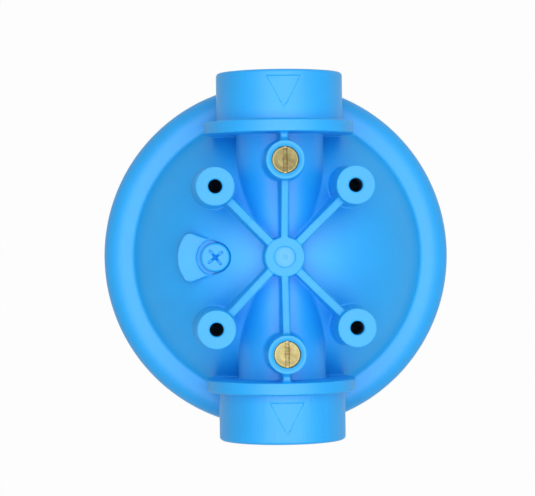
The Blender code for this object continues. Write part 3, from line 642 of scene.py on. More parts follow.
def plug_solid(x, y, z):
    """Turned plug with a bevelled rim, a screwdriver slot and a slim tapered shank."""
    r = np.hypot(x, y)
    head = trimmed(r - PLUG_HEAD, -PLUG_HEAD_DEPTH - z, edge=0.12)
    head = trimmed(head, sloped((r - PLUG_FACE) * PLUG_BEVEL + z, PLUG_BEVEL), edge=0.1)
    head = trimmed(head, z, edge=0.1)
    side = r - PLUG_SHANK - (z + PLUG_HEAD_DEPTH + 0.1) * PLUG_TAPER
    shank = np.maximum(trimmed(side, -PLUG_LENGTH - z, edge=0.6), z + 1.5)
    slot = trimmed(np.abs(x) - PLUG_SLOT_HALF, -PLUG_SLOT_DEPTH - z, edge=0.25)
    return bored(np.minimum(head, shank), slot, edge=0.12)


# Solids made into meshes

PROBES = np.array([[1, 1, 1], [1, -1, -1], [-1, 1, -1], [-1, -1, 1]], float)
CELL_SIDES = ((0, 0), (1, 0), (1, 1), (0, 1))
CELL_BLOCK = 4
NEAR_BLOCKS = 1.5
CORNER_STIFFNESS = 0.08
DRAW_LIMIT = 0.15
CORNER_SHARE = 0.8
CREASE_ANGLE = math.radians(14.0)


def cell_edges():
    """Both end corners of each of a cell's twelve edges, four along each axis."""
    ends = {}
    for axis, (b, c) in enumerate(((1, 2), (2, 0), (0, 1))):
        for i, j in ((0, 0), (1, 0), (0, 1), (1, 1)):
            low = [0, 0, 0]
            low[b], low[c] = i, j
            high = list(low)
            high[axis] = 1
            ends[axis * 4 + i + 2 * j] = (tuple(low), tuple(high))
    return ends


def edge_groups(ends, full):
    """Edges that the surface crosses in a cell, each with the name of the sheet that it is on."""
    group = {e: e for e, (a, b) in ends.items() if full(a) != full(b)}
    for axis in range(3):
        for side in (0, 1):
            on = [e for e in group if ends[e][0][axis] == side and ends[e][1][axis] == side]
            pairs = [on] if len(on) == 2 else []
            if len(on) == 4:
                solid = {c for e in on for c in ends[e] if full(c)}
                pairs = [[e for e in on if c in ends[e]] for c in solid]
            for one, two in pairs:
                old, new = group[one], group[two]
                group = {e: new if g == old else g for e, g in group.items()}
    return group


def sheet_table():
    """For each pattern of a cell's corners, the sheet of surface that each of its twelve edges is on."""
    ends = cell_edges()
    table = np.zeros((256, 12), np.int64)
    for pattern in range(256):
        group = edge_groups(ends, lambda c: pattern >> (c[0] + 2 * c[1] + 4 * c[2]) & 1)
        names = sorted(set(group.values()))
        for e, g in group.items():
            table[pattern, e] = names.index(g)
    return table


SHEETS = sheet_table()


def slope(solid, p, span=0.02):
    """Direction in which a solid's distance grows, at each point."""
    way = np.zeros_like(p)
    for probe in PROBES:
        q = p + span * probe
        way += probe * solid(q[:, 0], q[:, 1], q[:, 2])[:, None]
    return way / (np.linalg.norm(way, axis=1)[:, None] + 1e-12)


def sampled(solid, axes, cell):
    """Distances on a grid, worked out point by point only in the blocks that the surface passes."""
    middle = [a.reshape(-1, CELL_BLOCK).mean(1) for a in axes]
    rough = solid(middle[0][:, None, None], middle[1][None, :, None], middle[2][None, None, :])
    grid = rough.repeat(CELL_BLOCK, 0).repeat(CELL_BLOCK, 1).repeat(CELL_BLOCK, 2)
    near = np.argwhere(np.abs(rough) < CELL_BLOCK * cell * NEAR_BLOCKS)
    steps = np.arange(CELL_BLOCK)
    at = [near[:, k, None] * CELL_BLOCK + steps for k in range(3)]
    at = [at[0][:, :, None, None], at[1][:, None, :, None], at[2][:, None, None, :]]
    grid[at[0], at[1], at[2]] = solid(axes[0][at[0]], axes[1][at[1]], axes[2][at[2]])
    return grid


def crossings(value, axes, cell):
    """Points where the surface crosses the grid's edges, the cells round each, and which way it faces."""
    inside = value < 0
    flat = inside.ravel()
    stride = np.array([value.shape[1] * value.shape[2], value.shape[2], 1])
    points, keys, outward = [], [], []
    for axis, (b, c) in enumerate(((1, 2), (2, 0), (0, 1))):
        turned_grid = np.moveaxis(inside, axis, 0)
        hit = np.argwhere(turned_grid[:-1] != turned_grid[1:])
        at = np.empty_like(hit)
        at[:, [axis] + [k for k in range(3) if k != axis]] = hit
        base = at @ stride
        start, end = value.ravel()[base], value.ravel()[base + stride[axis]]
        p = np.stack([axes[k][at[:, k]] for k in range(3)], 1)
        p[:, axis] += cell * start / (start - end)
        corner = np.empty((len(at), 4), np.int64)
        for column, (i, j) in enumerate(CELL_SIDES):
            cells = base - i * stride[b] - j * stride[c]
            pattern = np.zeros(len(at), np.int64)
            for bit in range(8):
                step = (bit & 1) * stride[0] + (bit >> 1 & 1) * stride[1] + (bit >> 2) * stride[2]
                pattern |= flat[cells + step].astype(np.int64) << bit
            corner[:, column] = cells * 4 + SHEETS[pattern, axis * 4 + i + 2 * j]
        points.append(p)
        keys.append(corner)
        outward.append(start < 0)
    return np.concatenate(points), np.concatenate(keys), np.concatenate(outward)


def cell_points(solid, p, rank, count, cell):
    """One point for each cell, at the corner or edge that the faces crossing it make."""
    n = slope(solid, p)
    owner = np.repeat(np.arange(len(p)), 4)

    def total(values):
        return np.bincount(rank, values[owner], count)

    share = total(np.ones(len(p)))
    centre = np.stack([total(p[:, k]) / share for k in range(3)], 1)
    reach = (n * p).sum(1)
    pull = np.stack([total(n[:, k] * reach) for k in range(3)], 1)
    pairs = np.empty((count, 3, 3))
    for i in range(3):
        for j in range(i, 3):
            pairs[:, i, j] = pairs[:, j, i] = total(n[:, i] * n[:, j])
    pull -= np.einsum("nij,nj->ni", pairs, centre)
    shift = np.linalg.solve(pairs + CORNER_STIFFNESS * np.eye(3), pull[:, :, None])[:, :, 0]
    return centre + np.clip(shift, -cell, cell)


def skin(solid, low, high, cell):
    """Closed surface of a solid, as points and faces of four corners."""
    axes = []
    for a, b in zip(low, high):
        count = int(math.ceil((b - a) / cell / CELL_BLOCK)) * CELL_BLOCK + CELL_BLOCK
        axes.append(a + cell * np.arange(count))
    p, keys, outward = crossings(sampled(solid, axes, cell), axes, cell)
    names, rank = np.unique(keys.ravel(), return_inverse=True)
    rank = rank.ravel()
    points = cell_points(solid, p, rank, len(names), cell)
    quads = rank.reshape(-1, 4)
    quads[~outward] = quads[~outward][:, ::-1]
    return points, quads


def add_mesh(name, points, faces, look=None):
    """Mesh object from points in metres and an array of faces that all have the same corners."""
    mesh = bpy.data.meshes.new(name)
    points, faces = np.asarray(points, float), np.asarray(faces)
    mesh.vertices.add(len(points))
    mesh.vertices.foreach_set("co", points.ravel())
    mesh.loops.add(faces.size)
    mesh.loops.foreach_set("vertex_index", faces.ravel())
    mesh.polygons.add(len(faces))
    mesh.polygons.foreach_set("loop_start", np.arange(len(faces)) * faces.shape[1])
    mesh.update(calc_edges=True)
    mesh.validate()
    mesh.shade_smooth()
    piece = bpy.data.objects.new(name, mesh)
    bpy.context.scene.collection.objects.link(piece)
    if look:
        mesh.materials.append(look)
    return piece


def creased(piece, sharp):
    """Shade a piece smooth but for the edges that are sharper than an angle in degrees."""
    piece.data.shade_smooth()
    piece.data.set_sharp_from_angle(angle=math.radians(sharp))
    return piece


def settle(piece):
    """Take the result of a piece's modifiers as its plain mesh."""
    bpy.context.view_layer.update()
    result = bpy.data.meshes.new_from_object(piece.evaluated_get(bpy.context.evaluated_depsgraph_get()))
    old = piece.data
    piece.modifiers.clear()
    piece.data = result
    bpy.data.meshes.remove(old)
    result.name = piece.name
    return piece


def shaded(mesh, solid, origin, cell):
    """Draw a triangle mesh onto its solid, place it, and shade it by the solid's own slope."""
    p = np.empty(len(mesh.vertices) * 3)
    mesh.vertices.foreach_get("co", p)
    p = p.reshape(-1, 3)
    off = np.clip(solid(p[:, 0], p[:, 1], p[:, 2]), -DRAW_LIMIT * cell, DRAW_LIMIT * cell)
    p -= off[:, None] * slope(solid, p)
    corner = np.empty(len(mesh.loops), np.int32)
    mesh.loops.foreach_get("vertex_index", corner)
    middle = p[corner.reshape(-1, 3)].mean(1).repeat(3, 0)
    q = p[corner] * CORNER_SHARE + middle * (1 - CORNER_SHARE)
    own, shared = slope(solid, q), slope(solid, p)[corner]
    smooth = (own * shared).sum(1) > math.cos(CREASE_ANGLE)
    own[smooth] = shared[smooth]
    mesh.vertices.foreach_set("co", ((p + origin) * MM).ravel())
    mesh.update()
    mesh.shade_smooth()
    mesh.normals_split_custom_set(own.tolist())


def moulded(name, solid, origin, low, high, look, cell, most):
    """Piece with the surface of a solid, thinned where it is flat to a number of triangles."""
    points, quads = skin(solid, low, high, cell * (1.0))
    piece = add_mesh(name, points, quads, look)
    if 2 * len(quads) > most:
        thin = piece.modifiers.new("thin", "DECIMATE")
        thin.ratio = most / (2.0 * len(quads))
    piece.modifiers.new("split", "TRIANGULATE")
    settle(piece)
    shaded(piece.data, solid, origin, cell)
    return piece


def rounded(outline, steps=5):
    """Closed outline of (radius, height, round) points with each corner turned into an arc."""
    points, count = [], len(outline)
    for index, (r, z, ease) in enumerate(outline):
        here = np.array((r, z))
        before = np.array(outline[index - 1][:2]) - here
        after = np.array(outline[(index + 1) % count][:2]) - here
        before, after = before / np.linalg.norm(before), after / np.linalg.norm(after)
        half = math.acos(np.clip(before @ after, -1, 1)) / 2
        middle = (before + after) / np.linalg.norm(before + after)
        centre = here + middle * ease / math.sin(half)
        first, last = here + before * ease / math.tan(half), here + after * ease / math.tan(half)
        for step in range(steps + 1):
            way = (first - centre) * (1 - step / steps) + (last - centre) * (step / steps)
            points.append(tuple(centre + way / np.linalg.norm(way) * ease))
    return points


def turned(name, outline, steps, origin, look, sharp=35.0, swell=None):
    """Ring-shaped piece: a closed outline that runs down its outer side, turned about the upright axis."""
    outline = np.array(outline)
    count = len(outline)
    angle = (np.arange(steps) * (FULL_TURN / steps))[:, None]
    r, z = outline[None, :, 0] + 0 * angle, outline[None, :, 1] + 0 * angle
    if swell:
        r = r + swell(angle, r, z)
    points = np.stack([np.cos(angle) * r, np.sin(angle) * r, z], 2).reshape(-1, 3)
    i, j = np.meshgrid(np.arange(steps), np.arange(count), indexing="ij")
    after, below = (i + 1) % steps, (j + 1) % count
    faces = np.stack([i * count + j, i * count + below, after * count + below, after * count + j], 2)
    return creased(add_mesh(name, (points + origin) * MM, faces.reshape(-1, 4), look), sharp)


# Node trees

class Wire:
    """An output of a node; arithmetic with it adds Math nodes to its tree."""

    def __init__(self, tree, socket):
        self.tree, self.socket = tree, socket

    def other(self, name):
        return Wire(self.tree, self.socket.node.outputs[name])

    def __add__(self, b):
        return self.tree.math("ADD", self, b)

    def __sub__(self, b):
        return self.tree.math("SUBTRACT", self, b)

    def __rsub__(self, a):
        return self.tree.math("SUBTRACT", a, self)

    def __mul__(self, b):
        return self.tree.math("MULTIPLY", self, b)

    def __truediv__(self, b):
        return self.tree.math("DIVIDE", self, b)

    def __abs__(self):
        return self.tree.math("ABSOLUTE", self)

    __radd__, __rmul__ = __add__, __mul__


class Tree:
    """A node tree that is written as expressions."""

    def __init__(self, nodes):
        self.nodes, self.links = nodes.nodes, nodes.links

    def add(self, kind, settings=None, sockets=None, out=0):
        """New node with its settings, and the values or links of its sockets."""
        node = self.nodes.new(kind)
        for name, value in (settings or {}).items():
            setattr(node, name, value)
        for name, value in (sockets or {}).items():
            if isinstance(value, Wire):
                self.links.new(value.socket, node.inputs[name])
            else:
                node.inputs[name].default_value = value
        return Wire(self, node.outputs[out])

    def math(self, operation, *values):
        return self.add("ShaderNodeMath", {"operation": operation}, dict(enumerate(values)))

    def smaller(self, a, b):
        return self.math("MINIMUM", a, b)

    def larger(self, a, b):
        return self.math("MAXIMUM", a, b)

    def length(self, x, y):
        return self.math("SQRT", x * x + y * y)

    def ramp(self, value, low, high, first=0.0, last=1.0):
        """Smooth step of a value between two limits."""
        return self.add("ShaderNodeMapRange", {"interpolation_type": "SMOOTHSTEP"},
                        {0: value, 1: low, 2: high, 3: first, 4: last})

    def mix(self, factor, a, b):
        a, b = [(*c, 1.0) if isinstance(c, tuple) else c for c in (a, b)]
        return self.add("ShaderNodeMix", {"data_type": "RGBA"}, {0: factor, 6: a, 7: b}, out=2)

    def place(self, move=(0, 0, 0), scale=(1, 1, 1), turn=(0, 0, 0)):
        """The piece's own coordinates, moved, scaled and turned."""
        here = self.add("ShaderNodeTexCoord", out="Object")
        sockets = {"Vector": here, "Location": move, "Scale": scale, "Rotation": turn}
        return self.add("ShaderNodeMapping", {}, sockets)

    def noise(self, vector, scale=1.0, detail=2.0, rough=0.5, twist=0.0):
        sockets = {"Vector": vector, "Scale": scale, "Detail": detail}
        sockets.update({"Roughness": rough, "Distortion": twist})
        return self.add("ShaderNodeTexNoise", {}, sockets)

    def cells(self, vector, scale):
        return self.add("ShaderNodeTexVoronoi", {}, {"Vector": vector, "Scale": scale})

    def split(self, vector):
        parts = self.add("ShaderNodeSeparateXYZ", {}, {0: vector})
        return parts, parts.other("Y"), parts.other("Z")

    def join(self, **parts):
        return self.add("ShaderNodeCombineXYZ", {}, {name.upper(): value for name, value in parts.items()})

    def bump(self, height, depth, strength=1.0, under=None):
        sockets = {"Height": height, "Distance": depth, "Strength": strength}
        if under is not None:
            sockets["Normal"] = under
        return self.add("ShaderNodeBump", {}, sockets)

    def line(self, count):
        """A number of points, all at the origin, for a later node to place."""
        return self.add("GeometryNodeMeshLine", {"mode": "OFFSET"}, {"Count": count, "Offset": (0, 0, 0)})

    def close(self, shape, look):
        """End a geometry tree with its instances made real and its material set."""
        shape = self.add("GeometryNodeRealizeInstances", {}, {0: shape})
        shape = self.add("GeometryNodeSetMaterial", {}, {"Geometry": shape, "Material": look})
        self.links.new(shape.socket, self.nodes.new("NodeGroupOutput").inputs[0])


def new_finish(name, **fixed):
    """Material with its tree and a way to feed its shader."""
    look = bpy.data.materials.new(name)
    look.use_nodes = True
    tree = Tree(look.node_tree)
    shader = look.node_tree.nodes["Principled BSDF"]
    for socket, value in fixed.items():
        shader.inputs[socket.replace("_", " ")].default_value = value

    def feed(**sockets):
        for socket, wire in sockets.items():
            tree.links.new(wire.socket, shader.inputs[socket.replace("_", " ")])

    return look, tree, feed


# Finishes, in metres as their patterns read the pieces' own coordinates

def gate_disc_and_sheen(tree):
    """Where the hub of the cap has its smooth gate disc, which also gets a painted sheen."""
    x, y, z = tree.split(tree.place())
    rim, fade = GATE_RADIUS * MM, 0.2 * MM
    below = (SHOULDER_Z + HUB_RISE - 12.0) * MM
    return tree.ramp(tree.length(x, y), rim + fade, rim - fade) * tree.ramp(z, below - MM, below + MM)


def painted_hole_shade(tree):
    """Where the walls of the bracket bosses' blind screw holes get painted shade, darker below their mouths.
    """
    x, y, z = tree.split(tree.place())
    far = tree.length(abs(x) - BOSS_X * MM, abs(y) - BOSS_Y * MM)
    mouth = (SHOULDER_Z + TOP_RISE) * MM
    inside = tree.ramp(far, (SCREW_HOLE + 0.4) * MM, (SCREW_HOLE + 0.1) * MM)
    return inside * tree.ramp(z, mouth - 0.9 * MM, mouth - 4.9 * MM)


def moulded_blue(name, marked_and_shaded=False):
    """Glossy moulded polypropylene with faint flow clouds, fine grain and small scuffs."""
    look, tree, feed = new_finish(name, Specular_IOR_Level=0.75, IOR=1.49, Diffuse_Roughness=0.25)
    here = tree.place()
    cloud = tree.noise(here, scale=26.0, detail=3.0, rough=0.55, twist=0.6)
    flow = tree.noise(tree.place(scale=(90, 90, 14)))
    grain = tree.noise(here, scale=1400.0)
    scuff = tree.noise(tree.place(scale=(300, 900, 300), turn=(0.3, 0.5, 0.9)), detail=4.0, rough=0.7)
    rub = tree.ramp(scuff, 0.62, 0.78)
    shade = tree.ramp(cloud * 0.65 + flow * 0.35, 0.3, 0.7)
    colour = tree.mix(shade, (0.005, 0.372, 0.86), (0.008, 0.400, 0.91))
    colour = tree.mix(rub * 0.10, colour, (0.08, 0.36, 0.80))
    rough = 0.42 + cloud * 0.10 + grain * 0.05 + rub * 0.10
    normal = tree.bump(grain, depth=0.04 * MM, strength=0.35)
    normal = tree.bump(cloud, depth=0.6 * MM, strength=0.25, under=normal)
    # Only the cap gets the gate disc's painted sheen and the screw holes' painted shade.
    if marked_and_shaded:
        gate_and_sheen = gate_disc_and_sheen(tree)
        # The gate disc's paler colour is painted sheen; its lower roughness is real.
        colour = tree.mix(gate_and_sheen * 0.22, colour, (0.16, 0.50, 0.90))
        rough = rough - gate_and_sheen * 0.16
        # Painted shade: the walls of the screw holes are darkened almost to black below their mouths.
        hole_shade = painted_hole_shade(tree)
        colour = tree.mix(hole_shade * 0.92, colour, (0.002, 0.006, 0.012))
        rough = rough + hole_shade * 0.3
    feed(Base_Color=colour, Roughness=rough, Normal=normal)
    return look


def turned_brass(name, y, dark, pale):
    """Brass faced on a lathe: fine rings about the plug's axis, a little tarnish, worn slot edges and a
    painted highlight on the bevelled rim.
    """
    look, tree, feed = new_finish(name, Metallic=0.8, Anisotropic=0.7)
    centre = (0, -y * MM, 0)
    here = tree.place(move=centre)
    px, py, _ = tree.split(here)
    far = tree.length(px, py)
    ring = tree.add("ShaderNodeTexNoise", {"noise_dimensions": "1D"},
                    {"W": far, "Scale": 9000.0, "Detail": 3.0, "Roughness": 0.6})
    stain = tree.noise(here, scale=190.0, detail=4.0, rough=0.6, twist=0.5)
    mark = tree.noise(tree.place(move=centre, scale=(160, 1100, 160)), detail=3.0)
    near = tree.ramp(abs(px), 2.2 * MM, 1.0 * MM) * tree.ramp(mark, 0.48, 0.62)
    colour = tree.mix(tree.ramp(stain, 0.35, 0.7), dark, pale)
    colour = tree.mix(near * 0.65, colour, (0.17, 0.10, 0.035))
    # The bevel's paler colour is a painted highlight; its lower roughness is real.
    bevel_and_highlight = tree.ramp(far, (PLUG_FACE - 0.3) * MM, (PLUG_FACE + 0.1) * MM)
    colour = tree.mix(bevel_and_highlight * 0.7, colour, (0.50, 0.41, 0.19))
    rough = 0.36 + ring * 0.16 + stain * 0.12 - bevel_and_highlight * 0.10
    feed(Base_Color=colour, Roughness=rough, Normal=tree.bump(ring, depth=0.03 * MM, strength=0.6))
    return look


def nitrile(name):
    """Black rubber with a bloom of dust."""
    look, tree, feed = new_finish(name, Specular_IOR_Level=0.4)
    here = tree.place()
    dust = tree.noise(here, scale=180.0, detail=4.0, rough=0.6)
    fine = tree.noise(here, scale=2600.0)
    colour = tree.mix(tree.ramp(dust, 0.45, 0.75), (0.012, 0.012, 0.013), (0.032, 0.032, 0.034))
    normal = tree.bump(fine, depth=0.03 * MM, strength=0.5)
    feed(Base_Color=colour, Roughness=0.42 + dust * 0.25, Normal=normal)
    return look


def seal_tape(name):
    """White tape whose plies show along its turns."""
    look, tree, feed = new_finish(name, Specular_IOR_Level=0.45)
    here = tree.place(scale=(1, 1, 6))
    ply = tree.noise(here, scale=320.0, detail=3.0)
    fine = tree.noise(here, scale=2400.0)
    colour = tree.mix(tree.ramp(ply, 0.35, 0.7), (0.74, 0.74, 0.72), (0.86, 0.86, 0.85))
    normal = tree.bump(ply * 0.7 + fine * 0.3, depth=0.12 * MM, strength=0.7)
    feed(Base_Color=colour, Roughness=0.48 + ply * 0.2, Normal=normal)
    return look


def filter_sheet(name):
    """Spun polyester sheet: tangled fibres with small bonded dots."""
    look, tree, feed = new_finish(name, Specular_IOR_Level=0.2)
    here = tree.place()
    lay = tree.place(scale=(900, 900, 260), turn=(0.4, 0.2, 0.6))
    fibre = tree.noise(lay, detail=5.0, rough=0.7, twist=1.2)
    bond = tree.ramp(tree.cells(here, scale=520.0), 0.16, 0.28)
    soil = tree.noise(here, scale=22.0, detail=3.0)
    colour = tree.mix(fibre, (0.70, 0.69, 0.64), (0.86, 0.85, 0.81))
    colour = tree.mix(tree.ramp(soil, 0.5, 0.8) * 0.25, colour, (0.62, 0.58, 0.48))
    normal = tree.bump(fibre * 0.6 + bond * 0.4, depth=0.3 * MM, strength=0.8)
    feed(Base_Color=colour, Roughness=0.82 + fibre * 0.15, Normal=normal)
    return look


def white_plastic(name):
    """Moulded white plastic of the cartridge."""
    look, tree, feed = new_finish(name, Specular_IOR_Level=0.45)
    here = tree.place()
    cloud = tree.noise(here, scale=40.0, detail=3.0, twist=0.5)
    fine = tree.noise(here, scale=1200.0)
    colour = tree.mix(tree.ramp(cloud, 0.3, 0.7), (0.76, 0.77, 0.75), (0.83, 0.84, 0.82))
    normal = tree.bump(fine, depth=0.05 * MM, strength=0.4)
    feed(Base_Color=colour, Roughness=0.4 + cloud * 0.15, Normal=normal)
    return look


def soft_gasket(name):
    """Closed-cell gasket with small cut cells in its faces."""
    look, tree, feed = new_finish(name, Specular_IOR_Level=0.3)
    here = tree.place()
    cut = tree.cells(here, scale=1500.0)
    cloud = tree.noise(here, scale=120.0, detail=3.0)
    colour = tree.mix(cloud, (0.03, 0.03, 0.034), (0.075, 0.075, 0.08))
    normal = tree.bump(cut, depth=0.25 * MM, strength=0.8)
    feed(Base_Color=colour, Roughness=0.7 + cloud * 0.15, Normal=normal)
    return look


# Pieces that repeat or follow a path

GROWN_SHARP = 40.0
THREAD_STEPS = 72
THREAD_FADE = 0.35
THREAD_TIP = 0.05
MERGE_GAP = 0.02


def new_tree(name, inputs):
    """Geometry tree with named inputs, as its node group, its writer and the wires of its inputs."""
    group = bpy.data.node_groups.new(name, "GeometryNodeTree")
    group.interface.new_socket("Geometry", in_out="INPUT", socket_type="NodeSocketGeometry")
    for label, kind in inputs.items():
        group.interface.new_socket(label, in_out="INPUT", socket_type="NodeSocket" + kind)
    group.interface.new_socket("Geometry", in_out="OUTPUT", socket_type="NodeSocketGeometry")
    tree = Tree(group)
    outputs = tree.add("NodeGroupInput").socket.node.outputs
    return group, tree, {socket.name: Wire(tree, socket) for socket in outputs if socket.name}


def grown(name, group, values, points=(), faces=()):
    """Piece that a geometry tree makes from its named inputs, as a plain mesh."""
    if len(points):
        piece = add_mesh(name, points, faces)
    else:
        piece = bpy.data.objects.new(name, bpy.data.meshes.new(name))
        bpy.context.scene.collection.objects.link(piece)
    rule = piece.modifiers.new(group.name, "NODES")
    rule.node_group = group
    for item in group.interface.items_tree:
        if item.in_out == "INPUT" and item.name in values:
            rule[item.identifier] = values[item.name]
    return creased(settle(piece), GROWN_SHARP)


def thread_tree():
    """Ridge of a screw thread: a section swept along a helix, fading out at both ends."""
    group, tree, given = new_tree("Thread ridge", {
        "Radius": "Float", "Taper": "Float", "Pitch": "Float", "Turns": "Float", "Start": "Float",
        "Height": "Float", "Root": "Float", "Crest": "Float", "Steps": "Int", "Material": "Material"})
    line = tree.line(given["Steps"])
    part = tree.add("GeometryNodeInputIndex") / (given["Steps"] - 1.0)
    angle = part * given["Turns"] * FULL_TURN
    rise = part * given["Turns"] * given["Pitch"]
    radius = given["Radius"] + given["Taper"] * rise
    x, y = radius * tree.math("COSINE", angle), radius * tree.math("SINE", angle)
    spot = tree.join(x=x, y=y, z=given["Start"] + rise)
    line = tree.add("GeometryNodeSetPosition", {}, {"Geometry": line, "Position": spot})
    path = tree.add("GeometryNodeMeshToCurve", {}, {0: line})
    path = tree.add("GeometryNodeSetCurveNormal", {"mode": "Z_UP"}, {0: path})
    fades = [tree.ramp(end * given["Turns"], 0.0, THREAD_FADE, THREAD_TIP) for end in (part, 1.0 - part)]
    corner_rule = ((-0.5, 0.0, "Root"), (0.5, 0.0, "Root"), (0.5, 1.0, "Crest"), (-0.5, 1.0, "Crest"))
    points = {}
    for number, (side, up, wide) in enumerate(corner_rule, 1):
        points["Point %d" % number] = tree.join(x=given["Height"] * up, y=given[wide] * side)
    section = tree.add("GeometryNodeCurvePrimitiveQuadrilateral", {"mode": "POINTS"}, points)
    ridge = tree.add("GeometryNodeCurveToMesh", {}, {
        "Curve": path, "Profile Curve": section, "Scale": tree.smaller(*fades), "Fill Caps": True})
    tree.close(ridge, given["Material"])
    return group


def copies_tree():
    """One module repeated round the upright axis and in rows up it."""
    group, tree, given = new_tree("Ring of copies", {
        "Count": "Int", "Rows": "Int", "Rise": "Float", "Material": "Material"})
    total = given["Count"] * given["Rows"]
    spots = tree.line(total)
    index = tree.add("GeometryNodeInputIndex")
    row = tree.math("FLOOR", index / given["Count"] + 0.0001)
    lift = tree.join(z=row * given["Rise"])
    turn = tree.join(z=index / given["Count"] * FULL_TURN)
    spots = tree.add("GeometryNodeSetPosition", {}, {"Geometry": spots, "Offset": lift})
    shape = tree.add("GeometryNodeInstanceOnPoints", {}, {
        "Points": spots, "Instance": given["Geometry"], "Rotation": turn})
    shape = tree.add("GeometryNodeRealizeInstances", {}, {0: shape})
    shape = tree.add("GeometryNodeMergeByDistance", {}, {"Geometry": shape, "Distance": MERGE_GAP * MM})
    tree.close(shape, given["Material"])
    return group


THREAD = thread_tree()
COPIES = copies_tree()


def face_out(piece):
    """Turn the faces of a closed piece outwards."""
    shape = bmesh.new()
    shape.from_mesh(piece.data)
    bmesh.ops.recalc_face_normals(shape, faces=shape.faces)
    shape.to_mesh(piece.data)
    shape.free()
    return piece


def close_ends(piece):
    """Join the inner and outer rims at both ends of an upright tube."""
    shape = bmesh.new()
    shape.from_mesh(piece.data)
    rims = [edge for edge in shape.edges if edge.is_boundary]
    middle = sum(point.co.z for point in shape.verts) / len(shape.verts)
    for upper in (False, True):
        pair = [edge for edge in rims if (edge.verts[0].co.z > middle) == upper]
        bmesh.ops.bridge_loops(shape, edges=pair)
    bmesh.ops.recalc_face_normals(shape, faces=shape.faces)
    shape.to_mesh(piece.data)
    shape.free()
    return creased(piece, GROWN_SHARP)


def thread_piece(name, look, place=None, taper=0.0, **sizes):
    """Thread ridge of the given sizes in millimetres, apart from its turns, at its place."""
    turns = sizes.pop("turns")
    values = {label.capitalize(): size * MM for label, size in sizes.items()}
    values.update({"Turns": turns, "Taper": taper, "Material": look})
    values["Steps"] = int(turns * THREAD_STEPS) + 1
    piece = grown(name, THREAD, values)
    if place:
        piece.data.transform(place)
    return face_out(piece)


# The housing

def fit(piece, body, slot, *nodes):
    """Let a piece ride on its body and stand for its nodes; its finish's slot is not used."""
    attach(piece, body)
    if nodes:
        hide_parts(*nodes)
    return piece


def make_cap():
    look = moulded_blue("moulded_blue_cap", marked_and_shaded=True)
    low, high = (-94.3, -97.3, -44.3), (94, 97, 84)
    origin = (0, 0, SHOULDER_Z)
    cap = moulded("cap_moulding", cap_solid, origin, low, high, look, cell=0.8, most=195000)
    fit(cap, "cap", "cap", "cap")
    ridge = thread_piece("cap_skirt_thread", look, turns=3.2, radius=SKIRT_BORE + THREAD_SINK,
                         pitch=COARSE_PITCH, start=CAP_LOW[2] + 7.9, height=-COARSE_HEIGHT,
                         root=COARSE_ROOT, crest=COARSE_CREST)
    fit(ridge, "cap", "cap")
    for side, quarter in (("inlet", -90.0), ("outlet", 90.0)):
        place = Matrix.Translation((0, 0, (SHOULDER_Z + PORT_RISE) * MM))
        place = place @ Matrix.Rotation(math.radians(quarter), 4, "X")
        ridge = thread_piece(side + "_port_thread", look, place, PORT_TAPER, turns=9.5, radius=22.9,
                             pitch=PORT_PITCH, start=71.5, height=-1.25, root=2.0, crest=0.3)
        fit(ridge, "cap", "cap")


def make_sump():
    look = moulded_blue("moulded_blue_sump")
    low, high = (-90.3, -90.3, -2.3), (90, 90, 264)
    sump = moulded("sump_bowl", sump_solid, (0, 0, 0), low, high, look, cell=1.1, most=150000)
    fit(sump, "sump", "sump", "sump")
    ridge = thread_piece("sump_neck_thread", look, turns=4.0, radius=NECK_RADIUS - THREAD_SINK,
                         pitch=COARSE_PITCH, start=223.9, height=COARSE_HEIGHT,
                         root=COARSE_ROOT, crest=COARSE_CREST)
    fit(ridge, "sump", "sump")


def oval(r, z, half, tall, count=28):
    """Section of a squeezed seal, running down its outer side."""
    angle = -FULL_TURN * np.arange(count) / count
    return np.stack([r + half * np.cos(angle), z + tall * np.sin(angle)], 1)


def make_seals():
    look = nitrile("black_nitrile")
    section = oval(r=GROOVE_RADIUS, z=259.6, half=2.9, tall=2.2)
    ring = turned("sump_seal_ring", section, 180, (0, 0, 0), look)
    fit(ring, "sump_seal", "rubber", "sump_o_ring")
    section = oval(r=5.2, z=-0.95, half=0.95, tall=1.1)
    ring = turned("vent_seal_ring", section, 72, VENT_AXIS, look)
    fit(ring, "vent_seal", "rubber", "vent_o_ring")


def make_vent():
    look = moulded_blue("moulded_blue_vent")
    low, high = (-8.3, -8.3, -13.3), (8, 8, 6)
    screw = moulded("vent_screw_moulding", vent_screw_solid, VENT_AXIS, low, high, look, cell=0.2, most=60000)
    fit(screw, "vent_screw", "vent", "vent_screw")
    place = Matrix.Translation([value * MM for value in VENT_AXIS])
    ridge = thread_piece("vent_screw_thread", look, place, turns=5.6, radius=VENT_SHANK - 0.05,
                         pitch=VENT_PITCH, start=VENT_TIP + 1.2, height=0.32, root=1.2, crest=0.3)
    fit(ridge, "vent_screw", "vent")


def tape_wraps(angle, r, z):
    """Tape drawn down into the thread, with the edge of each wrap standing a little proud."""
    turn = (z / PLUG_PITCH - angle / FULL_TURN) % 1.0
    lap = (z / TAPE_LAP - angle / FULL_TURN) % 1.0
    drawn = TAPE_SWELL * np.abs(2 * turn - 1) - TAPE_SINK + TAPE_LIP * (lap < TAPE_LIP_SHARE)
    return np.where(r > (TAPE_RADIUS + TAPE_BORE) / 2, drawn, 0.0)


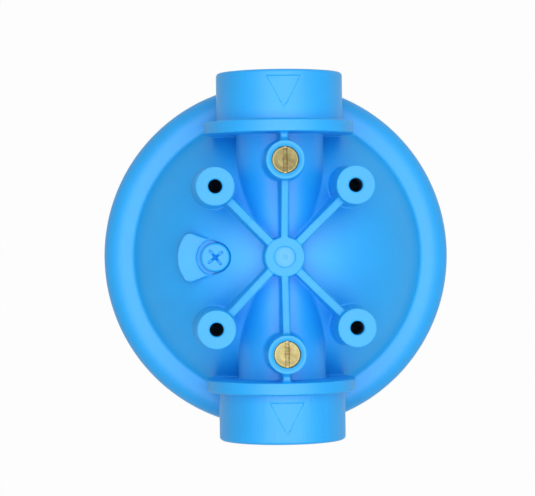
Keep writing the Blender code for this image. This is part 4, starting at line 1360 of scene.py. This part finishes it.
def make_plugs():
    tape = seal_tape("thread_seal_tape")
    top, foot = TAPE_SPAN
    side_line = [(TAPE_RADIUS, z) for z in np.linspace(top - TAPE_ROUND, foot + TAPE_ROUND, 61)]
    outline = [(TAPE_EDGE_RADIUS, top)] + side_line
    outline += [(TAPE_EDGE_RADIUS, foot), (TAPE_BORE, foot), (TAPE_BORE, top)]
    tones = {"inlet": ((0.14, 0.115, 0.044), (0.28, 0.238, 0.103)),
             "outlet": ((0.25, 0.205, 0.082), (0.40, 0.343, 0.162))}
    low, high = (-7.3, -7.3, -11.7), (7.3, 7.3, 0.9)
    for side, place in PLUG_AXES.items():
        brass = turned_brass(side + "_plug_brass", place[1], *tones[side])
        plug = moulded(side + "_plug_turning", plug_solid, place, low, high, brass, cell=0.16, most=60000)
        fit(plug, side + "_plug", "brass", side + "_gauge_plug")
        wrap = turned(side + "_plug_wrap", outline, 96, place, tape, sharp=50.0, swell=tape_wraps)
        fit(wrap, side + "_tape", "tape", side + "_plug_tape")


def pleat_line():
    """Middle line of one pleat from valley to valley, and the way along it, seen from above."""
    half = math.pi / PLEATS
    way = np.array((math.cos(half), math.sin(half)))
    across = np.array((-math.sin(half), math.cos(half)))
    peak = [(PLEAT_PEAK + PLEAT_PEAK_ROUND * math.cos(a), PLEAT_PEAK_ROUND * math.sin(a))
            for a in np.linspace(0, math.pi / 2, 6)]
    bend = [PLEAT_VALLEY * way - PLEAT_VALLEY_ROUND * (math.cos(a) * across + math.sin(a) * way)
            for a in np.linspace(0, math.pi / 2, 5)]
    flank = [np.array(peak[-1]) * (1 - t) + bend[0] * t for t in np.linspace(0, 1, 7)[1:-1]]
    line = np.array(peak + [tuple(q) for q in flank + bend])
    line = np.concatenate([line[:0:-1] * (1, -1), line])
    step = np.gradient(line, axis=0)
    step[0] = across * (-1, 1)
    step[-1] = across
    return line, step


def pleat(rows=12):
    """One pleat of the filter sheet, as points and faces of a strip with thickness."""
    line, step = pleat_line()
    normal = np.stack([step[:, 1], -step[:, 0]], 1)
    normal /= np.linalg.norm(normal, axis=1)[:, None]
    count = len(line)
    points = []
    for z in np.linspace(MEDIA_FOOT, MEDIA_TOP, rows):
        for offset in (SHEET / 2, -SHEET / 2):
            points += [(q[0], q[1], z) for q in line + offset * normal]
    faces = []
    for row in range(rows - 1):
        low, high = row * 2 * count, (row + 1) * 2 * count
        for k in range(count - 1):
            faces.append((low + k, low + k + 1, high + k + 1, high + k))
            faces.append((low + count + k + 1, low + count + k, high + count + k, high + count + k + 1))
    top = (rows - 1) * 2 * count
    for k in range(count - 1):
        faces.append((k + 1, k, count + k, count + k + 1))
        faces.append((top + k, top + k + 1, top + count + k + 1, top + count + k))
    return np.array(points) * MM, np.array(faces)


def core_tile(sides=16):
    """One tile of the core's wall with a round hole through it, and how tall it is in metres."""
    tall = (MEDIA_TOP - MEDIA_FOOT) / CORE_ROWS
    wide = FULL_TURN / CORE_HOLES
    points, rings = [], []
    for r in (CORE_RADIUS, CORE_BORE):
        for hole in (False, True):
            rings.append(len(points))
            for k in range(sides):
                a = FULL_TURN * k / sides + math.pi / 4
                u, v = math.cos(a), math.sin(a)
                edge = 2 * max(abs(u), abs(v))
                turn, z = u / edge * wide, v / edge * tall
                if hole:
                    turn, z = u * CORE_HOLE / CORE_RADIUS, v * CORE_HOLE
                points.append((r * math.cos(turn), r * math.sin(turn), MEDIA_FOOT + tall / 2 + z))
    faces = []
    for k in range(sides):
        n = (k + 1) % sides
        for a, b in ((rings[0], rings[1]), (rings[1], rings[3]), (rings[3], rings[2])):
            faces.append((a + k, a + n, b + n, b + k))
    return np.array(points) * MM, np.array(faces), tall * MM


def make_cartridge_filter(plastic):
    sheet = filter_sheet("pleated_sheet")
    values = {"Count": PLEATS, "Rows": 1, "Rise": 0.0, "Material": sheet}
    media = grown("pleated_media", COPIES, values, *pleat())
    fit(face_out(media), "cartridge", "media", "cartridge_media")
    points, faces, tall = core_tile()
    values = {"Count": CORE_HOLES, "Rows": CORE_ROWS, "Rise": tall, "Material": plastic}
    core = grown("perforated_core", COPIES, values, points, faces)
    fit(close_ends(core), "cartridge", "cartridge", "cartridge_core")


def end_cap_outline(inner, outer):
    """Section of an end cap from its inner to its outer face, with a shallow ring sunk in the outer one."""
    sunk = outer + math.copysign(END_RING_DEPTH, inner - outer)
    plate = [(END_CAP_RADIUS, outer, 1.0), (END_CAP_RADIUS, inner, 0.5),
             (CORE_BORE, inner, 0.3), (CORE_BORE, outer, 0.3)]
    return plate + [(r, z, 0.5) for r, z in zip(END_RING_RADII, (outer, sunk, sunk, outer))]


def make_cartridge_ends(plastic):
    soft = soft_gasket("soft_gasket")
    (foot_low, foot_high), (head_low, head_high) = [
        [corner[2] for corner in corners(node)] for node in ("cartridge_bottom_cap", "cartridge_top_cap")]
    head = end_cap_outline(head_low, head_high)
    foot = end_cap_outline(foot_high, foot_low)[::-1]
    for name, outline, node in (("cartridge_head", head, "cartridge_top_cap"),
                                ("cartridge_foot", foot, "cartridge_bottom_cap")):
        piece = turned(name, rounded(outline), 144, (0, 0, 0), plastic)
        fit(piece, "cartridge", "cartridge", node)
    for name, node in (("head_gasket", "cartridge_top_gasket"), ("foot_gasket", "cartridge_bottom_gasket")):
        low, high = [corner[2] for corner in corners(node)]
        outline = [(GASKET_RADIUS, high, 0.4), (GASKET_RADIUS, low, 0.4), (GASKET_BORE, low, 0.4),
                   (GASKET_BORE, high, 0.4)]
        piece = turned(name, rounded(outline), 96, (0, 0, 0), soft)
        fit(piece, "cartridge", "gasket", node)


def make_cartridge():
    plastic = white_plastic("white_end_cap")
    make_cartridge_filter(plastic)
    make_cartridge_ends(plastic)


# Stage, light and camera

def studio_ray(tree):
    """1 for a camera, glossy or transmission ray, which sees the plain white studio."""
    path = tree.add("ShaderNodeLightPath")
    seen = tree.larger(path, path.other("Is Glossy Ray"))
    return tree.larger(seen, path.other("Is Transmission Ray"))


def make_floor():
    """Pale floor that keeps a faint shadow, low enough for the sump to drop."""
    look, tree, _ = new_finish("pale_floor", Base_Color=(0.9, 0.9, 0.9, 1.0), Roughness=0.9)
    nodes = look.node_tree.nodes
    glow = tree.add("ShaderNodeEmission", {}, {"Color": (1, 1, 1, 1), "Strength": 1.0})
    plain = Wire(tree, nodes["Principled BSDF"].outputs[0])
    both = tree.add("ShaderNodeMixShader", {}, {0: studio_ray(tree) * FLOOR_GLOW, 1: plain, 2: glow})
    tree.links.new(both.socket, nodes["Material Output"].inputs["Surface"])
    plan = ((-1, -1), (1, -1), (1, 1), (-1, 1))
    points = [(x * FLOOR_HALF, y * FLOOR_HALF, FLOOR_Z) for x, y in plan]
    add_mesh("floor", points, [[0, 1, 2, 3]], look)


def make_light():
    """One broad soft light overhead and an even room."""
    world = bpy.data.worlds.new("studio")
    bpy.context.scene.world = world
    world.use_nodes = True
    tree = Tree(world.node_tree)
    back = world.node_tree.nodes["Background"]
    back.inputs["Color"].default_value = (1, 1, 1, 1)
    strength = studio_ray(tree) * (1.0 - ROOM_LIGHT) + ROOM_LIGHT
    tree.links.new(strength.socket, back.inputs["Strength"])
    lamp = bpy.data.lights.new("overhead_softbox", "AREA")
    lamp.shape = "RECTANGLE"
    lamp.size, lamp.size_y = LAMP_SIZE
    lamp.energy = LAMP_WATTS
    light = bpy.data.objects.new("overhead_softbox", lamp)
    light.matrix_world = Matrix.Translation(LAMP_PLACE)
    bpy.context.scene.collection.objects.link(light)


def make_camera():
    """Camera nearly straight over the cap, at the photograph's angle and distance."""
    turn = Matrix.Rotation(CAMERA_ROLL, 3, "Z") @ Matrix.Rotation(CAMERA_TILT, 3, "X")
    turn = turn @ Matrix.Rotation(CAMERA_LEAN, 3, "Y")
    eye = turn.transposed() @ Vector(CAMERA_PLACE) + Vector((0, 0, SHOULDER_Z))
    data = bpy.data.cameras.new("camera")
    data.sensor_fit = "HORIZONTAL"
    data.sensor_width = SENSOR_WIDTH
    data.lens = SENSOR_WIDTH * PHOTO_FOCUS / PHOTO_WIDTH
    camera = bpy.data.objects.new("camera", data)
    bpy.context.scene.collection.objects.link(camera)
    camera.matrix_world = Matrix.Translation(eye * MM) @ turn.transposed().to_4x4()
    bpy.context.scene.camera = camera


make_cap()
make_sump()
make_seals()
make_vent()
make_plugs()
make_cartridge()
make_floor()
make_light()
make_camera()
bpy.context.scene.view_settings.view_transform = "Standard"
